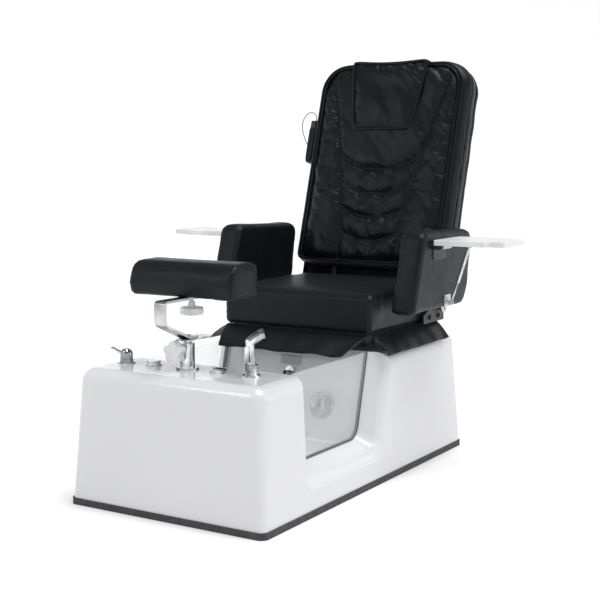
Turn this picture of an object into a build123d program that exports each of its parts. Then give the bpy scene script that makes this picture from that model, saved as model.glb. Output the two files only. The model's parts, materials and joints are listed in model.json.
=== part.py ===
"""Pedicure spa chair: moulded foot tub with glass sides, sliding and reclining massage seat,
flip-up armrests with folding trays, and an adjustable footrest.

Millimetres. Origin at the centre of the tub's footprint on the floor, +Z up, the chair's front
towards -Y, +X at the sitter's left hand. Every function returns the solids of one or a few nodes.
"""
import math
import os

from build123d import *

# ---------------------------------------------------------------- driving dimensions
BASE_LENGTH, BASE_WIDTH = 1300, 694      # tub footprint on the floor
TOP_LENGTH, TOP_WIDTH = 1264, 658        # tub at deck height, before the edge is rounded
BASE_CORNER, TOP_CORNER = 20, 45         # radii of the tub's upright corners
DECK_Z = 413                             # top of the tub
WALL = 6                                 # moulded tub skin
TOP_ROUND = 42                           # radius of the tub's top edge
TRIM_HEIGHT, TRIM_PROUD, TRIM_LIP = 20, 3, 3

BASIN_FRONT_Y = -400                     # foot basin, outside faces
BASIN_HALF = 266
BASIN_FLOOR_Z = 100
BASIN_SKIN = 4
GLASS_X, GLASS_THICK = 270, 8            # side window mid plane and thickness
GLASS_BOTTOM_Z = 150
NOTCH_SLOPE, NOTCH_ROUND = 40, 55        # side notch: degrees it opens, rounding into the tub's side
DRAIN_Y, PIPE_Z = -310, 74               # drain in the basin floor, waste pipe below it
# water stubs: X and Z at the rear wall, X of the hose along the tub, Y of the hose at the mixer
STUBS = [(60, 120, -286, -480), (110, 134, -306, -492)]

SEAT_HALF = 287                          # seat cushion
SEAT_FRONT_Y, SEAT_REAR_Y = 66, 592
SEAT_BOTTOM_Z, SEAT_TOP_Z = 468, 596

BACK_TILT = 16.5                         # degrees from upright
BACK_FOOT = (0, 552, 653)                # lower middle of the back panel's front face
BACK_HALF = 311
BACK_PANEL_HALF, BACK_PANEL_TALL = 276, 745
BACK_TALL, BACK_CORNER = 770, 128
SHELL_LOW = -70                          # lower end of the rear cover, along the back
BACK_PANEL_THICK, BACK_FOAM_THICK, BACK_SHELL_DEEP = 36, 50, 34
RECLINE_Y, RECLINE_Z = 613, 494          # recline hinge axis

ARM_IN, ARM_OUT = 317, 401               # armrest between these distances from the middle
ARM_PIVOT_Y, ARM_PIVOT_Z = 560, 505

TRAY_IN, TRAY_OUT = 413, 652
TRAY_FRONT_Y, TRAY_REAR_Y = 255, 458
TRAY_BOTTOM_Z, TRAY_THICK = 750, 18
TRAY_AXIS_X, TRAY_AXIS_Z = 425, 740      # tray hinge pin
STRUT_Y = 405
STRUT_FOOT = (413, 547)                  # lower strut pivot, X and Z
STRUT_HEAD = (475, 738)                  # upper strut pivot, X and Z

POST_X, POST_Y = -40, -470               # footrest post on the front deck
REST_Y, REST_HALF = -446, 188            # footrest knob line and half the cushion's length
REST_BOTTOM_Z, REST_TOP_Z = 628, 730
FITTING_Y = -474                         # line of the deck fittings
MIXER_X, DIVERTER_X, AIR_X, SHOWER_X = -259, -163, 76, 191
MIXER_Y = -486
JET_X, JET_Z = 129, 232                  # water jet in the basin's rear wall
SPOUT_X, SPOUT_Z = -8, 328
LEVER_X, LEVER_REACH, LEVER_LEAN = 110, 60, 20   # recline lever under the hinge
CARRIAGE_LOW, CARRIAGE_HIGH = 300, 380   # massage carriage, heights along the back
RAIL_X, RAIL_DEPTH = 60, 76              # massage rails
REMOTE_SIDE = -329                       # middle of the remote, on the -X side of the back

CORD_RADIUS = 1.6
# remote cord in the back's own axes: up out of the remote, over the pocket, into the shell's side
CORD_ROUTE = [(-329, 53, 552), (-329, 53, 568), (-337, 50, 583), (-352, 44, 588), (-366, 38, 579),
              (-376, 34, 558), (-379, 34, 531), (-375, 42, 503), (-366, 56, 476), (-355, 74, 451),
              (-341, 90, 430), (-326, 99, 416), (-312, 102, 408)]

RUNNING = 0.05                           # radial clearance of a shaft in its hole
GAP = 0.5                                # clearance between parts that move past each other


# ---------------------------------------------------------------- shape helpers
def block(x, y, z):
    """Box between two values on each axis."""
    size = [b - a for a, b in (x, y, z)]
    middle = [(a + b) / 2 for a, b in (x, y, z)]
    return Pos(*middle) * Box(*size)


def rod(start, end, radius):
    """Round bar from one point to another."""
    start, end = Vector(*start), Vector(*end)
    along = end - start
    align = (Align.CENTER, Align.CENTER, Align.MIN)
    return Plane(origin=start, z_dir=along) * Cylinder(radius, along.length, align=align)


def outline(points):
    """Flat face with a corner at each (a, b, radius)."""
    face = make_face(Polyline(*[(a, b) for a, b, _ in points], close=True))
    for a, b, radius in points:
        if radius:
            corner = face.vertices().sort_by_distance((a, b, 0))[0]
            face = fillet(corner, radius)
    return face


def prism_x(points, low, high):
    """Outline in Y and Z, pulled along X."""
    return extrude(Plane.YZ.offset(low) * outline(points), high - low)


def prism_y(points, low, high):
    """Outline in X and Z, pulled along Y."""
    plane = Plane(origin=(0, high, 0), x_dir=(1, 0, 0), z_dir=(0, -1, 0))
    return extrude(plane * outline(points), high - low)


def prism_z(points, low, high):
    """Outline in X and Y, pulled along Z."""
    return extrude(Plane.XY.offset(low) * outline(points), high - low)


def both_sides(solid):
    """The solid and its mirror image, as one group."""
    return Compound(children=[solid, mirror(solid, Plane.YZ)])


def group(solids):
    return Compound(children=list(solids))


def square_bar(start, end, side=20):
    """Bar of square section between two points that differ on one axis."""
    ranges = []
    for a, b in zip(start, end):
        ranges.append((min(a, b) - side / 2, max(a, b) + side / 2))
    return block(*ranges)


# ---------------------------------------------------------------- tub
def rounded_slab(width, length, radius, z):
    return Plane.XY.offset(z) * RectangleRounded(width, length, radius)


def tub_block(inset, bottom, top):
    """The tub's tapered outer form, moved inwards by inset, between two heights."""
    def section(z):
        share = z / DECK_Z
        width = BASE_WIDTH + (TOP_WIDTH - BASE_WIDTH) * share - 2 * inset
        length = BASE_LENGTH + (TOP_LENGTH - BASE_LENGTH) * share - 2 * inset
        return rounded_slab(width, length, BASE_CORNER + (TOP_CORNER - BASE_CORNER) * share, z)
    return loft([section(bottom), section(top)])


def glass_outline(grow=0.0, top=DECK_Z):
    """Side window in Y and Z: upright front edge, rear edge that leans back."""
    foot_y, rim_y = -3 + grow, 66 + grow
    foot_z = GLASS_BOTTOM_Z - grow
    top_y = foot_y + (rim_y - foot_y) * (top - foot_z) / (DECK_Z - foot_z)
    front_y = BASIN_FRONT_Y + 4 - grow
    return [(front_y, foot_z, 0), (foot_y, foot_z, 48 + grow), (top_y, top, 0), (front_y, top, 0)]


def notch_outline(growth, grow):
    """Side notch in Y and Z: the window's outline opened by a growth, and by a wall for the hollow."""
    foot_z = GLASS_BOTTOM_Z - 3
    lean_back = 92 / (DECK_Z + 80 - foot_z)
    front = BASIN_FRONT_Y - 0.25 * growth - grow
    foot = growth * (1 - lean_back) + grow
    low = foot_z - growth - grow
    return outline([
        (front, low, 40),
        (foot, low, 50 + 0.2 * growth),
        (92 + growth + grow, DECK_Z + 80, 0),
        (front, DECK_Z + 80, 0),
    ])


def notch_void(wall=0.0):
    """Funnel from the window out to the tub's side, on the +X side, its mouth rounded."""
    taper = math.atan2((BASE_WIDTH - TOP_WIDTH) / 2, DECK_Z)
    slope = math.radians(NOTCH_SLOPE)
    tangent = NOTCH_ROUND * math.tan((math.pi / 2 - slope) / 2)
    mouth = (TOP_WIDTH / 2 - GLASS_X) * math.tan(slope)
    sections = [Plane.YZ.offset(GLASS_X) * notch_outline(0, wall)]
    for turn in (0, 14, 28, 42):
        angle = slope + math.radians(turn)
        out = NOTCH_ROUND * (math.sin(angle) - math.sin(slope)) - tangent * math.cos(slope)
        growth = mouth - tangent * math.sin(slope) + NOTCH_ROUND * (math.cos(slope) - math.cos(angle))
        sections.append(skin_plane(taper, out - wall * math.sin(angle))
                        * notch_outline(growth, wall * math.cos(angle)))
    sections.append(skin_plane(taper, 3) * notch_outline(growth + 15, wall * math.cos(angle)))
    sections.append(skin_plane(taper, 60) * notch_outline(growth + 20, wall * math.cos(angle)))
    return loft(sections, ruled=True)


def skin_plane(taper, out):
    """Plane parallel to the tub's +X side, its own axes along Y and up the side."""
    return Plane(origin=(BASE_WIDTH / 2 + out, 0, 0), x_dir=(0, 1, 0),
                 z_dir=(math.cos(taper), 0, math.sin(taper)))


def basin_outline(shrink=0.0):
    """Foot basin in Y and Z, shrunk by its skin for the hollow."""
    return [
        (BASIN_FRONT_Y + shrink, BASIN_FLOOR_Z - BASIN_SKIN + shrink, 42),
        (-2 - shrink, BASIN_FLOOR_Z - BASIN_SKIN + shrink, 42),
        (82 - shrink, DECK_Z + 1, 0),
        (BASIN_FRONT_Y + shrink, DECK_Z + 1, 0),
    ]


def wall_place(x, z):
    """Plane on the basin's rear wall, its normal pointing out of the wall into the basin."""
    _, (foot_y, foot_z, _), (top_y, top_z, _), _ = basin_outline(BASIN_SKIN)
    slope = math.atan2(top_y - foot_y, top_z - foot_z)
    y = foot_y + (z - foot_z) * math.tan(slope)
    return Plane(origin=(x, y, z), x_dir=(1, 0, 0), z_dir=(0, -math.cos(slope), math.sin(slope)))


def tub_shell():
    outer = tub_block(0, TRIM_LIP, DECK_Z)
    outer = fillet(outer.faces().sort_by(Axis.Z)[-1].edges(), TOP_ROUND)
    notch = notch_void()
    outer -= prism_x(basin_outline(), -BASIN_HALF, BASIN_HALF)
    seat_of_glass = prism_x(glass_outline(3, DECK_Z + 9), -GLASS_X - 6, GLASS_X + 6)
    outer -= seat_of_glass
    outer -= notch
    outer -= mirror(notch, Plane.YZ)
    wall_notch = notch_void(WALL)
    hollow = tub_block(WALL, TRIM_LIP, DECK_Z - WALL)
    hollow = fillet(hollow.faces().sort_by(Axis.Z)[-1].edges(), TOP_ROUND - WALL)
    hollow -= wall_notch
    hollow -= mirror(wall_notch, Plane.YZ)
    shell = outer - hollow
    for x, y, radius in deck_holes():
        shell -= rod((x, y, DECK_Z - 60), (x, y, DECK_Z + 10), radius)
    for x, z, radius in rear_holes():
        shell -= rod((x, 560, z), (x, 700, z), radius)
    return shell - block((-134, -106), (560, 700), (109, 131))


def deck_holes():
    return [
        (POST_X, POST_Y, 16.5),
        (MIXER_X, MIXER_Y, 14),
        (DIVERTER_X, FITTING_Y, 8),
        (AIR_X, FITTING_Y, 12),
        (SHOWER_X, FITTING_Y, 15),
    ]


def rear_holes():
    return [(0, PIPE_Z, 18.2)] + [(x, z, 10.5) for x, z, _, _ in STUBS]


def base_trim():
    low = rounded_slab(BASE_WIDTH + 2 * TRIM_PROUD, BASE_LENGTH + 2 * TRIM_PROUD,
                       BASE_CORNER + TRIM_PROUD, 0)
    strip = extrude(low, TRIM_HEIGHT)
    hole = extrude(rounded_slab(BASE_WIDTH - 2 * WALL, BASE_LENGTH - 2 * WALL,
                                BASE_CORNER - WALL, -1), 99)
    return strip - hole - tub_block(0, TRIM_LIP, DECK_Z)


def basin():
    solid = prism_x(basin_outline(), -BASIN_HALF, BASIN_HALF)
    half = BASIN_HALF - BASIN_SKIN
    bowl = solid - prism_x(basin_outline(BASIN_SKIN), -half, half)
    bowl -= block((-400, 400), (-600, 300), (DECK_Z, DECK_Z + 50))
    window = prism_x(glass_outline(3), half - 1, GLASS_X + 20)
    bowl -= window
    bowl -= mirror(window, Plane.YZ)
    for step in (-70, 70):
        bowl += Pos(step, -170, BASIN_FLOOR_Z + 5) * Box(96, 190, 10)
    bowl -= rod((0, DRAIN_Y, 80), (0, DRAIN_Y, 140), 24.2)
    bowl -= wall_place(JET_X, JET_Z) * rod((0, 0, -30), (0, 0, 30), 33.2)
    bowl -= wall_place(SPOUT_X, SPOUT_Z) * rod((0, 0, -30), (0, 0, 30), 9.2)
    return bowl


def window_pane():
    low, high = GLASS_X - GLASS_THICK / 2, GLASS_X + GLASS_THICK / 2
    return prism_x(glass_outline(), low, high)


def window_seals():
    low, high = GLASS_X - 6, GLASS_X + 6
    seal = prism_x(glass_outline(3), low, high)
    seal -= prism_x(glass_outline(), low - 1, high + 1)
    seal -= block((low - 1, high + 1), (-600, 300), (DECK_Z - 0.01, DECK_Z + 30))
    return both_sides(seal)


def base_frame():
    """Welded square bars: floor ladder, seat legs with top rails, front deck support."""
    level, half = 31, 236
    frame = None
    bars = []
    for side in (-1, 1):
        x = side * half
        bars.append(square_bar((x, -560, level), (x, 560, level)))
        bars.append(square_bar((x, 150, level), (x, 150, DECK_Z - WALL - 10)))
        bars.append(square_bar((x, 540, level), (x, 540, DECK_Z - WALL - 10)))
        bars.append(square_bar((x, 150, DECK_Z - WALL - 10), (x, 540, DECK_Z - WALL - 10)))
        bars.append(square_bar((x, -430, level), (x, -430, 360)))
    for y in (-560, -430, 0, 150, 540):
        bars.append(square_bar((-half, y, level), (half, y, level)))
    bars.append(square_bar((-half, -430, 360), (half, -430, 360)))
    for bar in bars:
        frame = bar if frame is None else frame + bar
    return frame


def levelling_feet():
    feet = []
    for x, y in ((-236, -500), (236, -500), (-236, 500), (236, 500), (0, 0)):
        pad = rod((x, y, 0), (x, y, 8), 20)
        feet.append(pad + rod((x, y, 8), (x, y, 21), 6))
    return group(feet)


# ---------------------------------------------------------------- water fittings in the basin
def jet_housing():
    body = rod((0, 0, 0), (0, 0, 7), 45) + rod((0, 0, -66), (0, 0, 0), 33)
    body -= rod((0, 0, -60), (0, 0, 10), 28)
    body -= rod((0, 0, -70), (0, 0, -50), 5 + RUNNING)
    return wall_place(JET_X, JET_Z) * body


def jet_cap():
    """Domed cap with a ring of water slots, twisted on to the housing."""
    cap = rod((0, 0, 7.5), (0, 0, 14), 37) + rod((0, 0, 14), (0, 0, 20), 22)
    cap += rod((0, 0, -6), (0, 0, 7.5), 27.5)
    cap -= rod((0, 0, -10), (0, 0, 11), 24)
    for k in range(12):
        turn = math.radians(30 * k)
        x, y = 30 * math.cos(turn), 30 * math.sin(turn)
        cap -= rod((x, y, 11), (x, y, 20), 3)
    return wall_place(JET_X, JET_Z) * (cap - rod((0, 0, 0), (0, 0, 30), 7))


def jet_impeller():
    wheel = rod((0, 0, -40), (0, 0, -34), 22)
    for k in range(6):
        wheel += Rot(0, 0, 60 * k) * block((4, 21), (-1.5, 1.5), (-36, -18))
    wheel += rod((0, 0, -104), (0, 0, -34), 5)
    return wall_place(JET_X, JET_Z) * wheel


def jet_motor():
    motor = rod((0, 0, -170), (0, 0, -66.5), 40)
    motor -= rod((0, 0, -108), (0, 0, -60), 5 + RUNNING)
    return wall_place(JET_X, JET_Z) * motor


def drain():
    """Strainer in the basin floor and waste pipe to a spigot behind the tub."""
    middle, floor = DRAIN_Y, BASIN_FLOOR_Z
    dish = rod((0, middle, floor - 6), (0, middle, floor + 2), 24)
    dish += rod((0, middle, floor), (0, middle, floor + 3), 34)
    for k in range(8):
        turn = math.radians(45 * k)
        x, y = 13 * math.cos(turn), middle + 13 * math.sin(turn)
        dish -= rod((x, y, floor - 20), (x, y, floor + 20), 3)
    path = FilletPolyline((0, middle, 93), (0, middle, PIPE_Z), (0, 655, PIPE_Z), radius=18.5)
    start = Plane(origin=path @ 0, z_dir=path % 0)
    pipe = sweep(start * Circle(18), path)
    pipe += rod((0, 649, PIPE_Z), (0, 679, PIPE_Z), 20)
    pipe -= sweep(start * Circle(15.5), path) + rod((0, 640, PIPE_Z), (0, 684, PIPE_Z), 15.5)
    return group([dish, pipe])


def fill_spout():
    spout = rod((0, 0, 0), (0, 0, 6), 17) + rod((0, 0, -40), (0, 0, 0), 9)
    spout += rod((0, -6, 6), (0, -8, 34), 8)
    return wall_place(SPOUT_X, SPOUT_Z) * (spout - rod((0, -6.4, 12), (0, -8, 40), 5.5))


def water_supply():
    """Hot and cold stubs through the rear wall, and their hoses to the mixer."""
    pieces = []
    for x, z, side, y in STUBS:
        stub = rod((x, 604, z), (x, 646, z), 10.4) + rod((x, 646, z), (x, 650, z), 16)
        pieces.append(stub + rod((x, 650, z), (x, 677, z), 10.48))
        points = [(x, 603, z), (x, 572, z), (side, 572, z), (side, 540, 62), (side, y, 62),
                  (MIXER_X, y, 150), (MIXER_X, y, DECK_Z - 46)]
        path = FilletPolyline(*points, radius=[12, 16, 20, 24, 30])
        pieces.append(sweep(Plane(origin=path @ 0, z_dir=path % 0) * Circle(5), path))
    return group(pieces)


def power_supply():
    """Mains inlet socket with three blades in a recess, and the control box behind it."""
    inlet = block((-134, -106), (606, 644), (109, 131))
    inlet -= block((-131, -109), (624, 650), (112, 128))
    for dx, dz in ((-7, -2), (0, 3), (7, -2)):
        inlet += block((-121 + dx, -119 + dx), (620, 638), (118 + dz, 122 + dz))
    box = fillet(block((-220, -40), (470, 520), (150, 300)).edges().filter_by(Axis.Y), 8)
    return group([inlet, box])


# ---------------------------------------------------------------- deck fittings
def mixer_base():
    x, y = MIXER_X, MIXER_Y
    base = rod((x, y, DECK_Z), (x, y, DECK_Z + 4), 27)
    base += rod((x, y, DECK_Z + 4), (x, y, DECK_Z + 14), 20)
    return base + rod((x, y, DECK_Z - 45), (x, y, DECK_Z), 13.9)


def mixer_dome():
    x, y, z = MIXER_X, MIXER_Y, DECK_Z + 14 + GAP
    dome = rod((x, y, z), (x, y, z + 12), 19.5)
    ball = Pos(x, y, z + 12) * Sphere(19.5)
    dome += ball & block((x - 30, x + 30), (y - 30, y + 30), (z + 11, z + 60))
    slot = block((x - 30, x + 6), (y - 6, y + 6), (z + 6, z + 60))
    return dome - slot - rod((x, y - 12, DECK_Z + 26), (x, y + 12, DECK_Z + 26), 2.5 + RUNNING)


def mixer_lever():
    """Flat lever that rises towards its free end, with its pivot pin."""
    x, y, z = MIXER_X, MIXER_Y, DECK_Z + 26
    lever = prism_y([(x + 3, z + 4, 0), (x - 18, z + 6, 0), (x - 60, z + 19, 2),
                     (x - 62, z + 14, 2), (x - 22, z + 1, 0), (x + 3, z - 4, 0)],
                    y - 5.5, y + 5.5)
    return lever + rod((x, y - 11, z), (x, y + 11, z), 2.5)


def diverter_knob():
    x, y = DIVERTER_X, FITTING_Y
    knob = rod((x, y, DECK_Z + GAP), (x, y, DECK_Z + 3), 24)
    knob += rod((x, y, DECK_Z + 3), (x, y, DECK_Z + 15), 20)
    for k in range(3):
        turn = math.radians(30 + 120 * k)
        cx, cy = x + 29 * math.cos(turn), y + 29 * math.sin(turn)
        knob -= rod((cx, cy, DECK_Z + 4), (cx, cy, DECK_Z + 20), 11.5)
    return knob + rod((x, y, DECK_Z - 20), (x, y, DECK_Z + 2), 7.95)


def air_bezel():
    x, y = AIR_X, FITTING_Y
    ring = rod((x, y, DECK_Z), (x, y, DECK_Z + 9), 25)
    ring += rod((x, y, DECK_Z - 30), (x, y, DECK_Z), 11.9)
    ring -= rod((x, y, DECK_Z - 10), (x, y, DECK_Z + 20), 9)
    return ring - rod((x, y, DECK_Z + 3), (x, y, DECK_Z + 20), 17)


def air_button():
    x, y = AIR_X, FITTING_Y
    button = rod((x, y, DECK_Z + 8), (x, y, DECK_Z + 12), 16.4)
    return button + rod((x, y, DECK_Z + 1), (x, y, DECK_Z + 8), 8.6)


def shower_holder():
    x, y = SHOWER_X, FITTING_Y
    cup = rod((x, y, DECK_Z), (x, y, DECK_Z + 5), 26)
    cup += rod((x, y, DECK_Z + 5), (x, y, DECK_Z + 34), 19)
    cup += rod((x, y, DECK_Z - 24), (x, y, DECK_Z), 14.9)
    return cup - rod((x, y, DECK_Z - 30), (x, y, DECK_Z + 40), 13)


def hand_shower():
    """Handle with a neck bent towards the basin and a round spray face, and its hose."""
    x, y = SHOWER_X, FITTING_Y
    low, neck = DECK_Z + 16, DECK_Z + 100
    handle = rod((x, y, low - 30), (x, y, low + 26), 12.5)
    handle += rod((x, y, low + 22), (x - 4, y - 2, neck), 12)
    handle += Pos(x - 4, y - 2, neck) * Sphere(12.6)
    handle += rod((x - 4, y - 2, neck), (x + 22, y + 20, neck + 22), 14)
    head = Plane(origin=(x + 22, y + 20, neck + 22), z_dir=(0.75, 0.62, 0.22))
    align = (Align.CENTER, Align.CENTER, Align.CENTER)
    handle += head * Cylinder(15, 14, align=align)
    return group([handle, rod((x, y, 110), (x, y, low - 30), 8)])


def shower_trigger():
    """Thumb loop on the front of the handle, with its pivot pin."""
    x, y, z = SHOWER_X - 2, FITTING_Y - 17, DECK_Z + 42
    loop = block((x - 6, x + 6), (y - 6, y - 2), (z, z + 46))
    loop += block((x - 6, x + 6), (y - 2, y + 2.5), (z + 40, z + 46))
    return loop + rod((x - 8, y, z + 43), (x + 8, y, z + 43), 2.5)


# ---------------------------------------------------------------- footrest
def post_socket():
    x, y = POST_X, POST_Y
    socket = rod((x, y, DECK_Z), (x, y, DECK_Z + 6), 34)
    socket += rod((x, y, DECK_Z + 6), (x, y, DECK_Z + 78), 22)
    socket += rod((x, y, DECK_Z - 120), (x, y, DECK_Z), 16.4)
    socket += rod((x - 6, y - 33, 470), (x - 6, y - 10, 470), 9)
    socket -= rod((x, y, DECK_Z - 130), (x, y, DECK_Z + 90), 13 + RUNNING)
    return socket - rod((x - 6, y - 40, 470), (x - 6, y, 470), 5 + RUNNING)


def footrest_post():
    x, y = POST_X, POST_Y
    post = rod((x, y, DECK_Z - 110), (x, y, DECK_Z + 86), 13)
    plate = prism_z([(x - 26, y - 26, 8), (x + 26, y - 26, 8),
                     (x + 26, y + 98, 8), (x - 26, y + 98, 8)],
                    DECK_Z + 86, DECK_Z + 91)
    return post + plate


def post_knob():
    """Five-lobed clamp knob with its screw."""
    x, y, z = POST_X - 6, POST_Y, 470
    knob = rod((x, y - 68, z), (x, y - 40, z), 25)
    for k in range(5):
        turn = math.radians(18 + 72 * k)
        cx, cz = x + 22 * math.cos(turn), z + 22 * math.sin(turn)
        knob += rod((cx, y - 66, cz), (cx, y - 42, cz), 12)
    return knob + rod((x, y - 41, z), (x, y - 13.6, z), 5)


def footrest_bracket():
    """Flat bar bent to a C: over the cap plate, up at the front, back under the cushion."""
    x, width, thick = POST_X, 20, 7
    floor, top, front = DECK_Z + 91 + GAP, REST_BOTTOM_Z - GAP, -600
    outer = [(-440, floor, 0), (-480, floor, 0), (front, 556, 22), (front, top, 14),
             (-404, top, 0), (-404, top - thick, 0), (front + thick, top - thick, 7),
             (front + thick, 560, 16), (-477, floor + thick, 0), (-440, floor + thick, 0)]
    arm = prism_x(outer, x - width, x + width)
    arm += rod((x, POST_Y, floor + thick), (x, POST_Y, floor + thick + 5), 9)
    return arm - rod((x, REST_Y, 600), (x, REST_Y, 660), 6 + RUNNING)


def footrest_knob():
    """Round clamp knob under the cushion with its screw through the bracket."""
    x, y = POST_X, REST_Y
    knob = rod((x, y, 573), (x, y, 596), 35)
    knob = fillet(knob.edges().filter_by(GeomType.CIRCLE), 6)
    return knob + rod((x, y, 596), (x, y, 612), 11) + rod((x, y, 600), (x, y, 636), 6)


def footrest_cushion():
    """D-shaped bolster, rounded towards the front, on a wooden board."""
    x, low, high = POST_X, REST_BOTTOM_Z, REST_TOP_Z
    profile = [(-504, low, 10), (-514, low + 36, 22), (-490, high - 2, 42), (-368, high, 16),
               (-364, low, 6)]
    pad = prism_x(profile, x - REST_HALF, x + REST_HALF)
    pad -= block((x - 160, x + 160), (-490, -378), (low - 10, low + 12))
    board = block((x - 160, x + 160), (-490, -378), (low, low + 12))
    hole = rod((x, REST_Y, low - 10), (x, REST_Y, low + 11), 6 + RUNNING)
    return group([pad, board - hole])


# ---------------------------------------------------------------- seat
def slide_rails():
    """Two rails on the deck and the fixed push rod of the seat drive in its bracket."""
    rail = block((182, 218), (106, 598), (DECK_Z, DECK_Z + 3))
    rail += block((191, 209), (106, 598), (DECK_Z + 3, DECK_Z + 14))
    drive = rod((0, 232, 440), (0, 560, 440), 7) + block((-22, 22), (556, 580), (DECK_Z, 449))
    return group([rail, mirror(rail, Plane.YZ), drive])


def slide_shoes():
    shoes = []
    for y in (190, 500):
        shoe = block((180, 220), (y - 35, y + 35), (DECK_Z + 4, DECK_Z + 21))
        shoe -= block((190.6, 209.4), (y - 40, y + 40), (DECK_Z, DECK_Z + 14.4))
        shoes += [shoe, mirror(shoe, Plane.YZ)]
    return shoes


def seat_frame():
    """Two long tubes, a front tube, and rear ears that carry the recline hinge."""
    low, high = DECK_Z + 21, DECK_Z + 47
    frame = block((-250, 250), (108, 134), (low, high))
    for side in (-1, 1):
        inner, outer = sorted((side * 186, side * 220))
        frame += block((inner, outer), (108, 610), (low, high))
        ear_in, ear_out = sorted((side * 192, side * 200))
        ear = prism_x([(560, low, 0), (638, low, 0), (638, RECLINE_Z + 22, 20),
                       (590, RECLINE_Z + 22, 20)], ear_in, ear_out)
        frame += ear - block((ear_in - 1, ear_out + 1), (500, 600), (high, 900))
    frame -= rod((-260, RECLINE_Y, RECLINE_Z), (260, RECLINE_Y, RECLINE_Z), 6 + RUNNING)
    return group([frame] + slide_shoes())


def seat_board():
    return block((-262, 262), (92, 586), (DECK_Z + 47, SEAT_BOTTOM_Z))


def seat_cushion():
    pad = block((-SEAT_HALF, SEAT_HALF), (SEAT_FRONT_Y, SEAT_REAR_Y), (SEAT_BOTTOM_Z, SEAT_TOP_Z))
    pad = fillet(pad.edges().filter_by(Axis.Z), 22)
    front_top = pad.edges().filter_by(Axis.X).sort_by(Axis.Z)[-2:].sort_by(Axis.Y)[0]
    return fillet(front_top, 21)


def seat_actuators():
    """Drive tube that slides the seat, with its motor, and drive tube that reclines the back."""
    slider = rod((0, 140, 440), (0, 400, 440), 18)
    slider += rod((48, 150, 440), (48, 250, 440), 18) + block((0, 48), (150, 176), (424, 456))
    slider -= rod((0, 180, 440), (0, 410, 440), 7 + RUNNING)
    recliner = rod((LEVER_X, 200, 440), (LEVER_X, 470, 440), 17)
    recliner -= rod((LEVER_X, 240, 440), (LEVER_X, 480, 440), 7 + RUNNING)
    return group([slider, recliner])


def lever_tip():
    """Y and Z of the recline lever's pin."""
    lean_angle = math.radians(LEVER_LEAN)
    return (RECLINE_Y + LEVER_REACH * math.sin(lean_angle),
            RECLINE_Z - LEVER_REACH * math.cos(lean_angle))


def recline_rod():
    """Push rod with an upright slot for the lever's pin."""
    x, (y, _) = LEVER_X, lever_tip()
    end = block((x - 7, x + 7), (y - 14, y + 14), (422, 456))
    end -= block((x - 10, x + 10), (y - 5.4, y + 5.4), (427, 452))
    return rod((x, 290, 440), (x, y - 13, 440), 7) + end


def flap(points, thick=2.0):
    """Thin flap with the given corners."""
    a, b, c, d = [Vector(*p) for p in points]
    normal = (b - a).cross(c - a).normalized()
    return extrude(make_face(Polyline(a, b, c, d, close=True)), thick, dir=normal)


def seat_skirt():
    """Vinyl flaps that hang from under the cushion in front and at both sides."""
    front = flap([(-262, 84, 464), (262, 84, 464), (238, -36, 408), (-238, -36, 408)])
    side = flap([(268, 100, 457), (268, 560, 457), (354, 524, 408), (354, 70, 408)])
    return group([front, side, mirror(side, Plane.YZ)])


# ---------------------------------------------------------------- backrest, in its own leaning frame
def lean(solid):
    """From the back's own axes (x, depth from the front face, height along it) to the chair."""
    tilt = math.radians(BACK_TILT)
    plane = Plane(origin=BACK_FOOT, x_dir=(1, 0, 0), z_dir=(0, math.sin(tilt), math.cos(tilt)))
    return plane * solid


def back_outline(half, bottom, top, corner, foot=20):
    return [(-half, bottom, foot), (half, bottom, foot), (half, top, corner), (-half, top, corner)]


def back_panel():
    panel = prism_y(back_outline(BACK_PANEL_HALF, 4, BACK_PANEL_TALL, 84), 0, BACK_PANEL_THICK)
    return lean(panel)


def back_foam():
    """Padded surround with a bay for the massage carriage."""
    low, high = BACK_PANEL_THICK, BACK_PANEL_THICK + BACK_FOAM_THICK
    ring = prism_y(back_outline(BACK_HALF, -18, BACK_TALL, BACK_CORNER), low, high)
    ring -= prism_y(back_outline(192, -60, 720, 30, 0), low + 7, high + 5)
    return lean(ring)


def back_shell():
    """Rear cover, a shallow dish."""
    low = BACK_PANEL_THICK + BACK_FOAM_THICK
    high = low + BACK_SHELL_DEEP
    dish = prism_y(back_outline(BACK_HALF, SHELL_LOW, BACK_TALL, BACK_CORNER), low, high)
    rear_edges = dish.faces().sort_by(Axis.Y)[-1].edges()
    dish = fillet(rear_edges, 18)
    dish -= prism_y(back_outline(BACK_HALF - 22, SHELL_LOW - 40, BACK_TALL - 22, BACK_CORNER - 22, 0),
                    low - 1, high - 4)
    return lean(dish)


def back_frame():
    """Welded frame with hinge eyes, pins and the recline lever, and two carriage rails."""
    depth, half = (94, 114), 178
    frame = None
    for side in (-1, 1):
        inner, outer = sorted((side * (half - 10), side * (half + 10)))
        bar = block((inner, outer), depth, (-138, 700))
        frame = bar if frame is None else frame + bar
    for height in (690, 20):
        frame += block((-half, half), (66, 112), (height, height + 8))
    frame = lean(frame)
    for side in (-1, 1):
        inner, outer = sorted((side * (half - 10), side * (half + 10)))
        frame += rod((inner, RECLINE_Y, RECLINE_Z), (outer, RECLINE_Y, RECLINE_Z), 16)
        start, end = sorted((side * half, side * 206))
        frame += rod((start, RECLINE_Y, RECLINE_Z), (end, RECLINE_Y, RECLINE_Z), 6)
    frame += recline_lever()
    rail = lean(rod((RAIL_X, RAIL_DEPTH, 28), (RAIL_X, RAIL_DEPTH, 690), 5))
    return group([frame, rail, mirror(rail, Plane.YZ)])


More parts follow.
